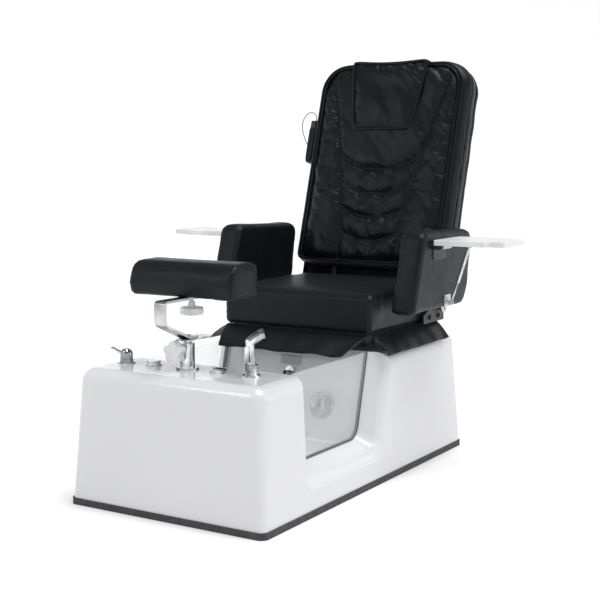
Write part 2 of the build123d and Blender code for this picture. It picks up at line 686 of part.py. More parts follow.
def recline_lever():
    """Stub shaft on the hinge line and the forked lever that the push rod moves."""
    tip_y, tip_z = lever_tip()
    lever = rod((LEVER_X - 14, RECLINE_Y, RECLINE_Z), (170, RECLINE_Y, RECLINE_Z), 9)
    for side in (-1, 1):
        low, high = sorted((LEVER_X + side * 8, LEVER_X + side * 14))
        lever += rod((low, RECLINE_Y, RECLINE_Z), (high, RECLINE_Y, RECLINE_Z), 14)
        lever += rod((low, tip_y, tip_z), (high, tip_y, tip_z), 9)
        place = Pos((low + high) / 2, (RECLINE_Y + tip_y) / 2, (RECLINE_Z + tip_z) / 2)
        lever += place * Rot(LEVER_LEAN, 0, 0) * Box(high - low, 18, LEVER_REACH)
    return lever + rod((LEVER_X - 14, tip_y, tip_z), (LEVER_X + 14, tip_y, tip_z), 5)


def massage_carriage():
    """Block that climbs the two rails, with its motor behind."""
    body = block((-92, 92), (54, 84), (CARRIAGE_LOW, CARRIAGE_HIGH))
    for x in (-RAIL_X, RAIL_X):
        body -= rod((x, RAIL_DEPTH, 290), (x, RAIL_DEPTH, 390), 5 + RUNNING)
    body += block((-40, 40), (84, 106), (305, 375))
    middle = (CARRIAGE_LOW + CARRIAGE_HIGH) / 2
    return lean(body - rod((-100, 62, middle), (100, 62, middle), 4 + RUNNING))


def massage_rollers():
    """Kneading shaft with a ball at each end."""
    middle = (CARRIAGE_LOW + CARRIAGE_HIGH) / 2
    shaft = rod((-114, 62, middle), (114, 62, middle), 4)
    for x in (-114, 114):
        shaft += Pos(x, 62, middle) * Sphere(17)
    return lean(shaft)


def head_pillow():
    """Flat pillow hung in front of the panel by two straps over the top."""
    points = [(-116, 495, 14), (116, 495, 14), (153, 757, 12), (-153, 757, 12)]
    pillow = prism_y(points, -34, -GAP)
    strap = block((104, 134), (-4, 124), (758, BACK_TALL + 7))
    strap -= block((100, 140), (-1, 121), (690, BACK_TALL + 4))
    strap += block((104, 134), (121, 124), (640, 758))
    return group([lean(piece) for piece in (pillow, strap, mirror(strap, Plane.YZ))])


# ---------------------------------------------------------------- remote control
def remote_pocket():
    """Flat sleeve sewn to the side of the back, open at the top."""
    middle = REMOTE_SIDE
    pocket = block((middle - 14, -BACK_HALF), (28, 78), (385, 520))
    pocket -= block((middle - 11, middle + 12), (31, 75), (388, 530))
    return lean(pocket)


def remote():
    body = block((REMOTE_SIDE - 10, REMOTE_SIDE + 10), (33, 73), (392, 552))
    return lean(fillet(body.edges().filter_by(Axis.X), 8))


def cord_radii(route):
    """Largest arc at each inner point that its two runs allow."""
    radii = []
    for before, here, after in zip(route, route[1:], route[2:]):
        run_in, run_out = here - before, after - here
        turn = math.radians(run_in.get_angle(run_out))
        radii.append(0.45 * min(run_in.length, run_out.length) / math.tan(turn / 2))
    return radii


def remote_cord():
    route = [Vector(*p) for p in CORD_ROUTE]
    radii = cord_radii(route)
    path = FilletPolyline(*route, radius=radii)
    cord = sweep(Plane(origin=path @ 0, z_dir=path % 0) * Circle(CORD_RADIUS), path)
    print("remote_cord radii", [round(r, 1) for r in radii], "length", round(path.length, 1))
    print("volume over section times length",
          round(cord.volume / (math.pi * CORD_RADIUS ** 2 * path.length), 4))
    return lean(cord)


# ---------------------------------------------------------------- armrests and trays (+X side)
def armrest():
    profile = [(133, 528, 12), (213, 796, 42), (606, 784, 36), (577, 596, 60), (540, 528, 48)]
    return prism_x(profile, ARM_IN, ARM_OUT)


def arm_brackets():
    """Steel plates on the seat board, each with two bolts and an armrest pivot pin."""
    plate = prism_x([(430, 461, 0), (590, 461, 0), (590, 512, 26), (545, 528, 10), (470, 506, 10),
                     (430, 490, 6)], 294, 300)
    plate += block((262, 296), (440, 580), (461, 466))
    for y in (478, 547):
        plate += rod((300, y, 480), (307, y, 480), 8)
    plate += rod((296, ARM_PIVOT_Y, ARM_PIVOT_Z), (316, ARM_PIVOT_Y, ARM_PIVOT_Z), 6)
    return both_sides(plate)


def arm_hinge():
    """Lever inside the armrest's inner face, turning on the pivot pin."""
    lever = prism_x([(545, 491, 10), (577, 491, 10), (577, 590, 8), (520, 590, 8), (520, 530, 8)],
                    BACK_HALF + 1.5, ARM_IN)
    return lever - rod((300, ARM_PIVOT_Y, ARM_PIVOT_Z), (330, ARM_PIVOT_Y, ARM_PIVOT_Z),
                       6 + RUNNING)


def tray_hinge_fixed():
    """Leaf on the armrest with two lugs and the hinge pin."""
    x, z = TRAY_AXIS_X, TRAY_AXIS_Z
    leaf = block((ARM_OUT, ARM_OUT + 3), (280, 380), (700, 748))
    for y in (282, 362):
        lug = rod((x, y, z), (x, y + 16, z), 6)
        lug += block((ARM_OUT + 2, x), (y, y + 16), (z - 6, z + 6))
        leaf += lug
    return leaf + rod((x, 290, z), (x, 370, z), 3)


def strut_bracket():
    """Chrome foot screwed to the armrest, with the lower pivot pin."""
    x, z = STRUT_FOOT
    foot = block((ARM_OUT, ARM_OUT + 2.5), (STRUT_Y - 34, STRUT_Y + 14), (z - 12, z + 28))
    for y in (STRUT_Y - 10, STRUT_Y + 6):
        foot += block((ARM_OUT + 2, x + 5), (y, y + 4), (z - 6, z + 6))
    for dz in (2, 18):
        foot += rod((ARM_OUT + 2, STRUT_Y - 24, z + dz), (ARM_OUT + 5, STRUT_Y - 24, z + dz), 4.5)
    return foot + rod((x, STRUT_Y - 8, z), (x, STRUT_Y + 8, z), 2.5)


def arm_hardware():
    """What is screwed to the armrest: pivot lever, tray hinge leaf and strut foot."""
    return group([arm_hinge(), tray_hinge_fixed(), strut_bracket()])


def tray():
    """Flat tray, its outer front corner stepped back."""
    step = 20
    shape = [(TRAY_IN, TRAY_FRONT_Y, 5), (TRAY_OUT - 58, TRAY_FRONT_Y, 8),
             (TRAY_OUT - 50, TRAY_FRONT_Y + step, 8), (TRAY_OUT, TRAY_FRONT_Y + step, 8),
             (TRAY_OUT, TRAY_REAR_Y, 14), (TRAY_IN, TRAY_REAR_Y, 14)]
    slab = prism_z(shape, TRAY_BOTTOM_Z, TRAY_BOTTOM_Z + TRAY_THICK)
    top = slab.faces().sort_by(Axis.Z)[-1]
    return fillet(top.edges(), 4)


def tray_hinge():
    """Leaf under the tray, its knuckle on the hinge pin, and the strut's lug."""
    x, z = TRAY_AXIS_X, TRAY_AXIS_Z
    leaf = block((x, x + 62), (299, 361), (TRAY_BOTTOM_Z - 3, TRAY_BOTTOM_Z))
    knuckle = rod((x, 299, z), (x, 361, z), 6) + block((x, x + 6), (299, 361), (z, z + 8))
    lug_x, lug_z = STRUT_HEAD
    lug = rod((lug_x, STRUT_Y + 7, lug_z), (lug_x, STRUT_Y + 10, lug_z), 6)
    lug += block((lug_x - 6, lug_x + 6), (STRUT_Y + 7, STRUT_Y + 10), (lug_z, TRAY_BOTTOM_Z))
    leaf += block((x + 30, x + 62), (361, STRUT_Y + 10), (TRAY_BOTTOM_Z - 3, TRAY_BOTTOM_Z))
    leaf += lug
    return leaf + knuckle - rod((x, 290, z), (x, 370, z), 3 + RUNNING)


def strut_point(along, side=0.0):
    """Point on the strut's line at a distance from its lower pivot."""
    rise = math.atan2(STRUT_HEAD[0] - STRUT_FOOT[0], STRUT_HEAD[1] - STRUT_FOOT[1])
    x = STRUT_FOOT[0] + along * math.sin(rise)
    z = STRUT_FOOT[1] + along * math.cos(rise)
    return (x, STRUT_Y + side, z)


def strut_length():
    return math.dist(STRUT_FOOT, STRUT_HEAD)


def strut_rod():
    x, z = STRUT_FOOT
    eye = rod((x, STRUT_Y - 5, z), (x, STRUT_Y + 5, z), 5)
    bar = rod(strut_point(3), strut_point(126), 3)
    return eye + bar - rod((x, STRUT_Y - 9, z), (x, STRUT_Y + 9, z), 2.5 + RUNNING)


def strut_sleeve():
    """Thick tube over the rod, closed at its upper end, with the upper stud."""
    reach = strut_length()
    sleeve = rod(strut_point(72), strut_point(188), 6)
    sleeve -= rod(strut_point(60), strut_point(185), 3 + RUNNING)
    sleeve += rod(strut_point(187), strut_point(reach), 3)
    return sleeve + rod(strut_point(reach, -4), strut_point(reach, 6.4), 4)


# ---------------------------------------------------------------- nodes
def right_and_left(name, solid):
    return {name + "_right": solid, name + "_left": mirror(solid, Plane.YZ)}


def build():
    single = [
        tub_shell, base_trim, basin, window_seals, base_frame, levelling_feet, jet_housing,
        jet_cap, jet_impeller, jet_motor, drain, fill_spout, water_supply, power_supply,
        mixer_base, mixer_dome, mixer_lever, diverter_knob, air_bezel, air_button,
        shower_holder, hand_shower, shower_trigger, post_socket, footrest_post, post_knob,
        footrest_bracket, footrest_knob, footrest_cushion, slide_rails, seat_frame, seat_board,
        seat_cushion, seat_actuators, recline_rod, seat_skirt, arm_brackets, back_panel,
        back_foam, back_shell, back_frame, massage_carriage, massage_rollers, head_pillow,
        remote_pocket, remote, remote_cord,
    ]
    paired = [armrest, arm_hardware, tray, tray_hinge, strut_rod, strut_sleeve]
    nodes = {make.__name__: make() for make in single}
    nodes["window_glass"] = both_sides(window_pane())
    for make in paired:
        nodes.update(right_and_left(make.__name__, make()))
    return nodes


def main():
    os.makedirs("parts", exist_ok=True)
    for name, solid in build().items():
        export_step(solid, f"parts/{name}.step")


if __name__ == "__main__":
    main()
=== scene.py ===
"""Looks of the pedicure spa chair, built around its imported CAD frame.

Metres, in the chair's own frame: origin at the centre of the tub's footprint on the floor, +Z up,
the chair's front towards -Y, +X at the sitter's left hand.
"""

import json
import math

import bmesh
import bpy
import numpy as np
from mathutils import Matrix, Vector, kdtree, noise
from mathutils.bvhtree import BVHTree


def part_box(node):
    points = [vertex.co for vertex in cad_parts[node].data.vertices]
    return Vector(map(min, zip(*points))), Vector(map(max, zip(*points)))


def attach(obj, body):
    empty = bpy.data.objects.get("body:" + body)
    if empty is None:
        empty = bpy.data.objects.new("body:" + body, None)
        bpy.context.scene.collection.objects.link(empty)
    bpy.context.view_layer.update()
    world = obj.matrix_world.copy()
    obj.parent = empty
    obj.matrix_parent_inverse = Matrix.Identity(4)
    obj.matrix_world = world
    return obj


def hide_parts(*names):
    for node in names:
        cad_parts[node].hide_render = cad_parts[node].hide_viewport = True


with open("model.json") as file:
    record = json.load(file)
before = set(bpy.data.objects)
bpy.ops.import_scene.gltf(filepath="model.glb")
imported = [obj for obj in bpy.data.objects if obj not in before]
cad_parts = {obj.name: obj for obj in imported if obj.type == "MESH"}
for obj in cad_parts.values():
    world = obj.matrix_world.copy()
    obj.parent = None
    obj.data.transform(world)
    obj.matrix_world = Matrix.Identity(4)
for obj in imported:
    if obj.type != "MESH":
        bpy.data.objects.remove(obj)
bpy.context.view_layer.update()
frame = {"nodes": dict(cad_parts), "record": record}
scene = bpy.context.scene

# ---------------------------------------------------------------- driving dimensions
CAMERA_PLACE = Vector((2.0992, -3.3148, 1.0535))
CAMERA_TURN, CAMERA_DIP = math.radians(31.561), math.radians(7.0)
LENS_MM, SENSOR_MM = 72.66, 36.0

BACK_TILT = math.radians(16.5)           # backrest from upright
PANEL_THICK, PANEL_LOW = 0.036, 0.004    # stitched panel: thickness, lower end along the back
PANEL_HALF, PANEL_TOP, PANEL_CORNER = 0.276, 0.745, 0.084
BODY_GROW = 0.036                        # padded body beyond the panel's sides
TOP_SHARE, FOOT_SHARE = 0.68, 0.22       # share of that above the panel and below it
FOAM_DEPTH, BACK_DEPTH = 0.086, 0.120    # depth of the padded body and of the whole back
REAR_FOOT = -0.070                       # lower end of the rear cover

# the padded body's skins: growth beyond the panel's outline, depth behind the back's front face
SHOULDER = [(-0.004, 0.006), (0.006, 0.005), (0.018, 0.009), (0.028, 0.018), (0.034, 0.031), (0.0355, 0.044),
            (0.0335, 0.049), (0.0355, 0.054), (0.036, 0.068), (0.0345, 0.083), (0.032, FOAM_DEPTH)]
REAR = [(0.032, FOAM_DEPTH), (0.0348, 0.089), (0.036, 0.098), (0.032, 0.110), (0.022, 0.118),
        (0.002, 0.121), (-0.040, 0.123), (-0.090, 0.1245), (-0.140, 0.125), (-0.180, 0.125)]
# piping and zip tape: name, growth, depth, radius
PIPINGS = [("panel_piping", 0.0005, 0.0030, 0.0042), ("panel_piping_outer", 0.0130, 0.0060, 0.0034),
           ("zip_cover", 0.0345, 0.0490, 0.0030)]

SEAM_TOP = 0.69                          # upper end of the panel's side seams
CROSS_SEAMS = [(0.410, 0.347), (0.305, 0.257), (0.206, 0.168), (0.118, 0.081)]    # heights at ends and middle
PANEL_STEP = 0.0062                      # grid of the panel's cloth
# how far the panel's cloth stands forward: away from its border, away from its seams, and in its folds
BORDER_DEPTH, EDGE_RISE, PUFF_RISE, FOLD_RISE = 0.010, 0.012, 0.009, 0.0125
EDGE_REACH, PUFF_REACH = 0.020, 0.015
STITCH_BESIDE = 0.0042                   # stitches beside a panel seam

PILLOW_LOW, PILLOW_TOP = 0.497, 0.757    # head pillow, heights along the back
PILLOW_LOW_HALF, PILLOW_TOP_HALF = 0.116, 0.153
PILLOW_RIM, PILLOW_SAG = -0.022, 0.010   # depth of its piping, sag of its top edge
PILLOW_FRONT, PILLOW_BEHIND, PILLOW_FOLD = 0.014, 0.012, 0.0120      # its dome each way, its folds
PILLOW_PIPING = 0.0056
STRAP_X, STRAP_WIDTH, STRAP_THICK = 0.119, 0.030, 0.0022

# basin's rear wall, Y and Z at its foot and at its rim
WALL_FOOT, WALL_RIM = (-0.006, 0.100), (0.078, 0.414)
LABEL_X, LABEL_Z, LABEL_HALF_WIDE, LABEL_HALF_TALL, LABEL_CORNER = -0.012, 0.3635, 0.040, 0.0155, 0.004

SEAT_PROFILE = [(0.066, 0.468, 0.010), (0.066, 0.596, 0.026), (0.592, 0.596, 0.014), (0.592, 0.468, 0.010)]
ARM_PROFILE = [(0.133, 0.528, 0.012), (0.213, 0.796, 0.042), (0.606, 0.784, 0.036),
               (0.577, 0.596, 0.060), (0.540, 0.528, 0.048)]
REST_PROFILE = [(-0.504, 0.628, 0.008), (-0.514, 0.664, 0.022), (-0.490, 0.728, 0.040),
                (-0.368, 0.730, 0.016), (-0.364, 0.628, 0.008)]

HEM_Z, FRONT_HEM_Y, FRONT_HEM_HALF = 0.409, -0.036, 0.238            # hems of the seat's skirt
SIDE_TOP, SIDE_HEM, SIDE_HEM_X = (0.090, 0.560), (0.070, 0.524), 0.352   # side flap: Y front and rear

SLEEVE_MIDDLE, SLEEVE_DEPTH = -0.327, 0.053      # remote's sleeve: across and depth of its middle
SLEEVE_LOW, SLEEVE_TOP = 0.385, 0.520
SLEEVE_HALF_X, SLEEVE_HALF_DEEP, SLEEVE_WALL, SLEEVE_CORNER = 0.0155, 0.0245, 0.0028, 0.007
CORD_DIAMETER, CORD_LENGTH = 0.0032, 0.278
# the cord's route in the back's own axes: across, depth, height
CORD_ROUTE = [(-0.329, 0.053, 0.552), (-0.329, 0.053, 0.568), (-0.337, 0.050, 0.583), (-0.352, 0.044, 0.588),
              (-0.366, 0.038, 0.579), (-0.376, 0.034, 0.558), (-0.379, 0.034, 0.531), (-0.375, 0.042, 0.503),
              (-0.366, 0.056, 0.476), (-0.355, 0.074, 0.451), (-0.341, 0.090, 0.430), (-0.326, 0.099, 0.416),
              (-0.312, 0.102, 0.408)]

STITCH_LENGTH, STITCH_GAP, THREAD = 0.0042, 0.0066, 0.00045
WORLD_STRENGTH, SUN_STRENGTH, SUN_ANGLE = 0.26, 2.75, math.radians(40)
SUN_FROM = Vector((0.24, 0.05, 1.0))
# soft lights: name, place, what it points at, size, watts
SOFT_LIGHTS = [("key", (-1.7, -2.8, 2.9), (0.0, 0.3, 0.9), 1.3, 19.0),
               ("side", (3.6, 0.6, 1.8), (0.0, 0.1, 0.6), 2.0, 12.0)]
LEAF_Z = 0.69                            # arm hardware above this height is the tray hinge's leaf
JET_RING_LOOK = "flat_bar_steel"         # the jet's housing is duller than its chrome cap


# ---------------------------------------------------------------- places
def back_foot():
    """Lower middle of the back's front face, read from the panel's box."""
    low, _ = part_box("back_panel")
    y = low.y - PANEL_LOW * math.sin(BACK_TILT)
    z = low.z + PANEL_THICK * math.sin(BACK_TILT) - PANEL_LOW * math.cos(BACK_TILT)
    return Vector((0.0, y, z))


BACK_FOOT = back_foot()
UP_BACK = Vector((0.0, math.sin(BACK_TILT), math.cos(BACK_TILT)))
INTO_BACK = Vector((0.0, math.cos(BACK_TILT), -math.sin(BACK_TILT)))


def lean(x, depth, height):
    """From the back's own axes (across, depth behind its front face, height along it) to the chair's."""
    return Vector((x, 0.0, 0.0)) + BACK_FOOT + INTO_BACK * depth + UP_BACK * height


# ---------------------------------------------------------------- camera
def make_camera():
    data = bpy.data.cameras.new("camera")
    data.lens, data.sensor_width = LENS_MM, SENSOR_MM
    camera = bpy.data.objects.new("camera", data)
    scene.collection.objects.link(camera)
    camera.location = CAMERA_PLACE
    ahead = Vector((-math.sin(CAMERA_TURN) * math.cos(CAMERA_DIP),
                    math.cos(CAMERA_TURN) * math.cos(CAMERA_DIP), -math.sin(CAMERA_DIP)))
    camera.rotation_euler = ahead.to_track_quat("-Z", "Y").to_euler()
    scene.camera = camera


# ---------------------------------------------------------------- materials
class Look:
    """A principled material whose detail comes from procedural nodes in the piece's own space."""

    def __init__(self, name, color, roughness, **sockets):
        self.material = bpy.data.materials.new(name)
        self.material.use_nodes = True
        self.tree = self.material.node_tree
        self.shader = self.tree.nodes["Principled BSDF"]
        self.place = self.tree.nodes.new("ShaderNodeTexCoord").outputs["Object"]
        self.shader.inputs["Base Color"].default_value = (*color, 1.0)
        self.shader.inputs["Roughness"].default_value = roughness
        for socket, value in sockets.items():
            self.shader.inputs[socket.replace("_", " ")].default_value = value
        self.material.diffuse_color = (*color, 1.0)

    def node(self, kind, inputs, **settings):
        made = self.tree.nodes.new(kind)
        for key, value in settings.items():
            setattr(made, key, value)
        for key, value in inputs.items():
            if isinstance(value, bpy.types.NodeSocket):
                self.tree.links.new(value, made.inputs[key])
            else:
                made.inputs[key].default_value = value
        return made

    def stretched(self, stretch):
        return self.node("ShaderNodeMapping", {"Vector": self.place, "Scale": stretch}).outputs["Vector"]

    def noise(self, scale, detail=3.0, stretch=(1, 1, 1)):
        inputs = {"Vector": self.stretched(stretch), "Scale": scale, "Detail": detail}
        return self.node("ShaderNodeTexNoise", inputs).outputs["Fac"]

    def cells(self, scale, feature="F1", stretch=(1, 1, 1)):
        inputs = {"Vector": self.stretched(stretch), "Scale": scale}
        return self.node("ShaderNodeTexVoronoi", inputs, feature=feature).outputs["Distance"]

    def spread(self, value, low, high, start=0.3, end=0.7):
        """The value's range from start to end, turned into low to high."""
        inputs = {"Value": value, "From Min": start, "From Max": end, "To Min": low, "To Max": high}
        return self.node("ShaderNodeMapRange", inputs).outputs["Result"]

    def rough(self, value, low, high):
        self.tree.links.new(self.spread(value, low, high), self.shader.inputs["Roughness"])

    def tint(self, value, dark, light):
        mix = self.node("ShaderNodeMix", {"Factor": self.spread(value, 0.0, 1.0)}, data_type="RGBA")
        mix.inputs[6].default_value = (*dark, 1.0)
        mix.inputs[7].default_value = (*light, 1.0)
        self.tree.links.new(mix.outputs[2], self.shader.inputs["Base Color"])

    def bump(self, height, distance, strength=1.0):
        """Adds relief of a depth in metres on top of the relief already there."""
        normal = self.shader.inputs["Normal"]
        below = normal.links[0].from_socket if normal.links else None
        bump = self.node("ShaderNodeBump", {"Height": height, "Distance": distance, "Strength": strength})
        if below:
            self.tree.links.new(below, bump.inputs["Normal"])
        self.tree.links.new(bump.outputs["Normal"], normal)


def white_acrylic():
    look = Look("white_acrylic", (0.645, 0.647, 0.667), 0.16, Coat_Weight=0.30, Coat_Roughness=0.06)
    look.tint(look.noise(3.0), (0.632, 0.634, 0.655), (0.658, 0.660, 0.680))
    look.rough(look.noise(24.0, 5.0), 0.13, 0.24)
    look.bump(look.noise(7.0, 1.0), 0.0012, 0.4)
    look.bump(look.noise(420.0), 0.00004)
    return look


def black_rubber():
    look = Look("black_rubber", (0.028, 0.028, 0.03), 0.62)
    look.tint(look.noise(40.0, 5.0), (0.020, 0.020, 0.022), (0.045, 0.045, 0.047))
    look.rough(look.noise(60.0), 0.52, 0.75)
    look.bump(look.noise(900.0), 0.00012)
    return look


def clear_glass():
    look = Look("clear_glass", (0.92, 0.95, 0.95), 0.03, IOR=1.5, Alpha=0.19)
    look.tint(look.noise(5.0), (0.90, 0.93, 0.93), (0.94, 0.96, 0.96))
    look.rough(look.noise(30.0, 5.0), 0.02, 0.08)
    return look


def seal_rubber():
    look = Look("seal_rubber", (0.07, 0.08, 0.08), 0.5)
    look.rough(look.noise(120.0), 0.4, 0.6)
    look.bump(look.noise(700.0), 0.00008)
    return look


def chrome():
    look = Look("chrome", (0.55, 0.56, 0.58), 0.07, Metallic=1.0)
    # painted reflections: the base colour runs in stretched blotches from dark to light, standing in for dark
    # surroundings mirrored in the chrome
    look.tint(look.noise(40.0, 1.0, (1.0, 1.0, 0.5)), (0.17, 0.175, 0.185), (0.80, 0.81, 0.83))
    look.rough(look.noise(90.0, 5.0), 0.04, 0.16)
    look.bump(look.noise(1500.0), 0.00001)
    return look


def flat_bar_steel():
    look = Look("flat_bar_steel", (0.50, 0.51, 0.53), 0.22, Metallic=1.0)
    grain = look.noise(260.0, 4.0, (1.0, 0.06, 1.0))
    look.tint(look.noise(16.0, 2.0), (0.26, 0.265, 0.28), (0.66, 0.67, 0.69))
    look.rough(grain, 0.16, 0.30)
    look.bump(grain, 0.00004)
    return look


def zinc_steel():
    look = Look("zinc_steel", (0.58, 0.59, 0.61), 0.34, Metallic=1.0)
    flakes = look.cells(110.0)
    look.tint(flakes, (0.50, 0.51, 0.54), (0.68, 0.69, 0.70))
    look.rough(look.noise(70.0, 5.0), 0.26, 0.44)
    look.bump(flakes, 0.00004)
    return look


def black_steel():
    look = Look("black_steel", (0.020, 0.020, 0.022), 0.42)
    look.tint(look.noise(25.0, 5.0), (0.015, 0.015, 0.017), (0.034, 0.034, 0.036))
    look.rough(look.noise(50.0), 0.34, 0.52)
    look.bump(look.noise(800.0, 2.0), 0.0001)
    return look


def frosted_plastic():
    look = Look("frosted_plastic", (0.82, 0.85, 0.85), 0.28, Alpha=0.78, Subsurface_Weight=0.3,
                Subsurface_Scale=0.01)
    look.tint(look.noise(60.0), (0.76, 0.80, 0.80), (0.88, 0.90, 0.90))
    look.rough(look.noise(180.0), 0.20, 0.38)
    look.bump(look.noise(300.0), 0.00008)
    return look


def moulded(name, color, roughness, grain=900.0):
    """Moulded plastic with a fine spark-eroded grain."""
    look = Look(name, color, roughness)
    dark = [0.88 * c for c in color]
    light = [min(1.0, 1.08 * c) for c in color]
    look.tint(look.noise(12.0, 4.0), dark, light)
    look.rough(look.noise(45.0, 4.0), roughness - 0.06, roughness + 0.08)
    look.bump(look.cells(grain), 0.00006)
    return look


def black_upholstery():
    """Coated leather cloth: fine pebble grain, soft satin gloss, faint stretch creases."""
    look = Look("black_upholstery", (0.0045, 0.0051, 0.0068), 0.40, Specular_IOR_Level=0.22,
                Specular_Tint=(0.84, 0.92, 1.0, 1.0), Sheen_Weight=0.025, Sheen_Roughness=0.4,
                Sheen_Tint=(0.86, 0.92, 1.0, 1.0))
    look.tint(look.noise(6.0, 4.0), (0.0036, 0.0041, 0.0055), (0.0062, 0.0070, 0.0090))
    look.rough(look.noise(38.0, 5.0), 0.33, 0.45)
    look.bump(look.noise(26.0, 3.0, (1.0, 1.0, 0.45)), 0.0016, 0.6)
    look.bump(look.cells(760.0, "SMOOTH_F1"), 0.00022, 0.8)
    look.bump(look.cells(1500.0), 0.00006)
    return look


def board_wood():
    """Plywood stained black."""
    look = Look("board_wood", (0.016, 0.014, 0.012), 0.7)
    grain = look.noise(30.0, 6.0, (6.0, 0.5, 12.0))
    look.tint(grain, (0.010, 0.009, 0.008), (0.026, 0.022, 0.019))
    look.rough(grain, 0.6, 0.8)
    look.bump(grain, 0.0002)
    return look


def cord_rubber():
    look = Look("cord_rubber", (0.012, 0.012, 0.013), 0.4)
    look.rough(look.noise(200.0), 0.34, 0.5)
    look.bump(look.noise(1200.0), 0.00004)
    return look


def thread():
    look = Look("thread", (0.014, 0.0145, 0.016), 0.55)
    look.tint(look.noise(900.0), (0.010, 0.0105, 0.012), (0.022, 0.023, 0.026))
    look.bump(look.noise(2500.0, 1.0, (1.0, 1.0, 4.0)), 0.0001)
    return look


def floor_paint():
    look = Look("floor_paint", (0.93, 0.93, 0.93), 0.6)
    look.tint(look.noise(1.2, 5.0), (0.92, 0.92, 0.925), (0.94, 0.94, 0.94))
    look.bump(look.noise(90.0, 4.0), 0.0002)
    return look


def make_looks():
    looks = {make.__name__: make() for make in (
        white_acrylic, black_rubber, clear_glass, seal_rubber, chrome, flat_bar_steel, zinc_steel,
        black_steel, frosted_plastic, black_upholstery, board_wood, cord_rubber, thread, floor_paint)}
    looks["grey_plastic"] = moulded("grey_plastic", (0.45, 0.46, 0.48), 0.42)
    looks["black_plastic"] = moulded("black_plastic", (0.022, 0.022, 0.024), 0.44)
    looks["white_plastic"] = moulded("white_plastic", (0.74, 0.74, 0.75), 0.34, 1400.0)
    return {name: look.material for name, look in looks.items()}


LOOKS = make_looks()


def paint_frame():
    """Gives every CAD node its slot's material, and the tray hinges' leaves black paint."""
    for row in frame["record"]["subparts"]:
        node = frame["nodes"][row["node"]]
        node.data.materials.clear()
        look = JET_RING_LOOK if row["node"] == "jet_housing" else row["material_slot"]
        node.data.materials.append(LOOKS[look])
        for face in node.data.polygons:
            face.material_index = 0
    for name in ("arm_hardware_right", "arm_hardware_left"):
        mesh = frame["nodes"][name].data
        mesh.materials.append(LOOKS["black_steel"])
        for face in mesh.polygons:
            face.material_index = int(face.center.z > LEAF_Z)


# ---------------------------------------------------------------- mesh helpers
def add_piece(name, points, faces, look):
    mesh = bpy.data.meshes.new(name)
    mesh.from_pydata([tuple(p) for p in points], [], faces)
    mesh.shade_smooth()
    mesh.materials.append(LOOKS[look])
    piece = bpy.data.objects.new(name, mesh)
    scene.collection.objects.link(piece)
    return piece


def settle(piece, body, slot, *nodes):
    """The piece rides on its body and stands for the nodes, which it hides; slot is not used."""
    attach(piece, body)
    if nodes:
        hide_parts(*nodes)
    return piece


def coordinates(mesh):
    """The mesh's vertices as rows of x, y, z."""
    points = np.empty(3 * len(mesh.vertices), np.float32)
    mesh.vertices.foreach_get("co", points)
    return points.reshape(-1, 3).astype(float)


def set_coordinates(mesh, points):
    mesh.vertices.foreach_set("co", points.astype(np.float32).ravel())
    mesh.update()


def normals(mesh):
    """The mesh's vertex normals as rows of x, y, z."""
    ups = np.empty(3 * len(mesh.vertices), np.float32)
    mesh.vertex_normals.foreach_get("vector", ups)
    return ups.reshape(-1, 3).astype(float)


def spaced(points, step, closed=False):
    """Points every step or so along a line, ends kept."""
    points = np.array([tuple(p) for p in points], float)
    if closed:
        points = np.vstack([points, points[:1]])
    along = np.concatenate([[0.0], np.cumsum(np.linalg.norm(np.diff(points, axis=0), axis=1))])
    count = max(2, math.ceil(along[-1] / step) + 1)
    places = np.linspace(0.0, along[-1], count)
    line = np.column_stack([np.interp(places, along, points[:, k]) for k in range(points.shape[1])])
    return line[:-1] if closed else line


def box_corners(a, b, radius):
    """Corners of a rectangle about its middle, half sizes a and b, for rounded()."""
    return [(-a, -b, radius), (a, -b, radius), (a, b, radius), (-a, b, radius)]


def rounded(corners, step):
    """Points at most a step apart along a closed outline of (a, b, radius) corners."""
    line = []
    for i, (a, b, radius) in enumerate(corners):
        here = np.array((a, b))
        back = np.array(corners[i - 1][:2]) - here
        ahead = np.array(corners[(i + 1) % len(corners)][:2]) - here
        back /= np.linalg.norm(back)
        ahead /= np.linalg.norm(ahead)
        half = math.acos(float(np.clip(back @ ahead, -1.0, 1.0))) / 2
        turn = math.pi - 2 * half
        middle = here + (back + ahead) / np.linalg.norm(back + ahead) * radius / math.sin(half)
        start = here + back * radius / math.tan(half) - middle
        end = here + ahead * radius / math.tan(half) - middle
        for share in np.linspace(0.0, 1.0, 9):
            mix = math.sin((1 - share) * turn) * start + math.sin(share * turn) * end
            line.append(middle + mix / math.sin(turn))
    return spaced(line, step, closed=True)


def resampled(outline, count):
    """The closed outline with a fixed number of points."""
    share = np.linspace(0, 1, count, endpoint=False)
    where = np.linspace(0, 1, len(outline), endpoint=False)
    return np.column_stack([np.interp(share, where, outline[:, k], period=1.0) for k in (0, 1)])


def inward(outline):
    """Unit normals of a closed outline in a plane, towards its inside."""
    along = np.roll(outline, -1, axis=0) - np.roll(outline, 1, axis=0)
    side = np.column_stack([-along[:, 1], along[:, 0]])
    side /= np.linalg.norm(side, axis=1)[:, None]
    area = np.sum(outline[:, 0] * np.roll(outline[:, 1], -1) - outline[:, 1] * np.roll(outline[:, 0], -1))
    return side if area > 0 else -side


def ring_faces(rings, count, first_cap=True, last_cap=True):
    """Quads between rings of count points each, with a face over each end."""
    faces = []
    for r in range(rings - 1):
        for i in range(count):
            j = (i + 1) % count
            faces.append((r * count + i, r * count + j, (r + 1) * count + j, (r + 1) * count + i))
    if first_cap:
        faces.append(tuple(range(count))[::-1])
    if last_cap:
        faces.append(tuple(range((rings - 1) * count, rings * count)))
    return faces


def zipped_cap(first, count):
    """Closes a ring of count points with quads that run from one side of it to the other."""
    faces = []
    for i in range(count // 2 - 1):
        faces.append((first + i, first + i + 1, first + count - 2 - i, first + count - 1 - i))
    if count % 2:
        faces.append((first + count // 2 - 1, first + count // 2, first + count // 2 + 1))
    return faces


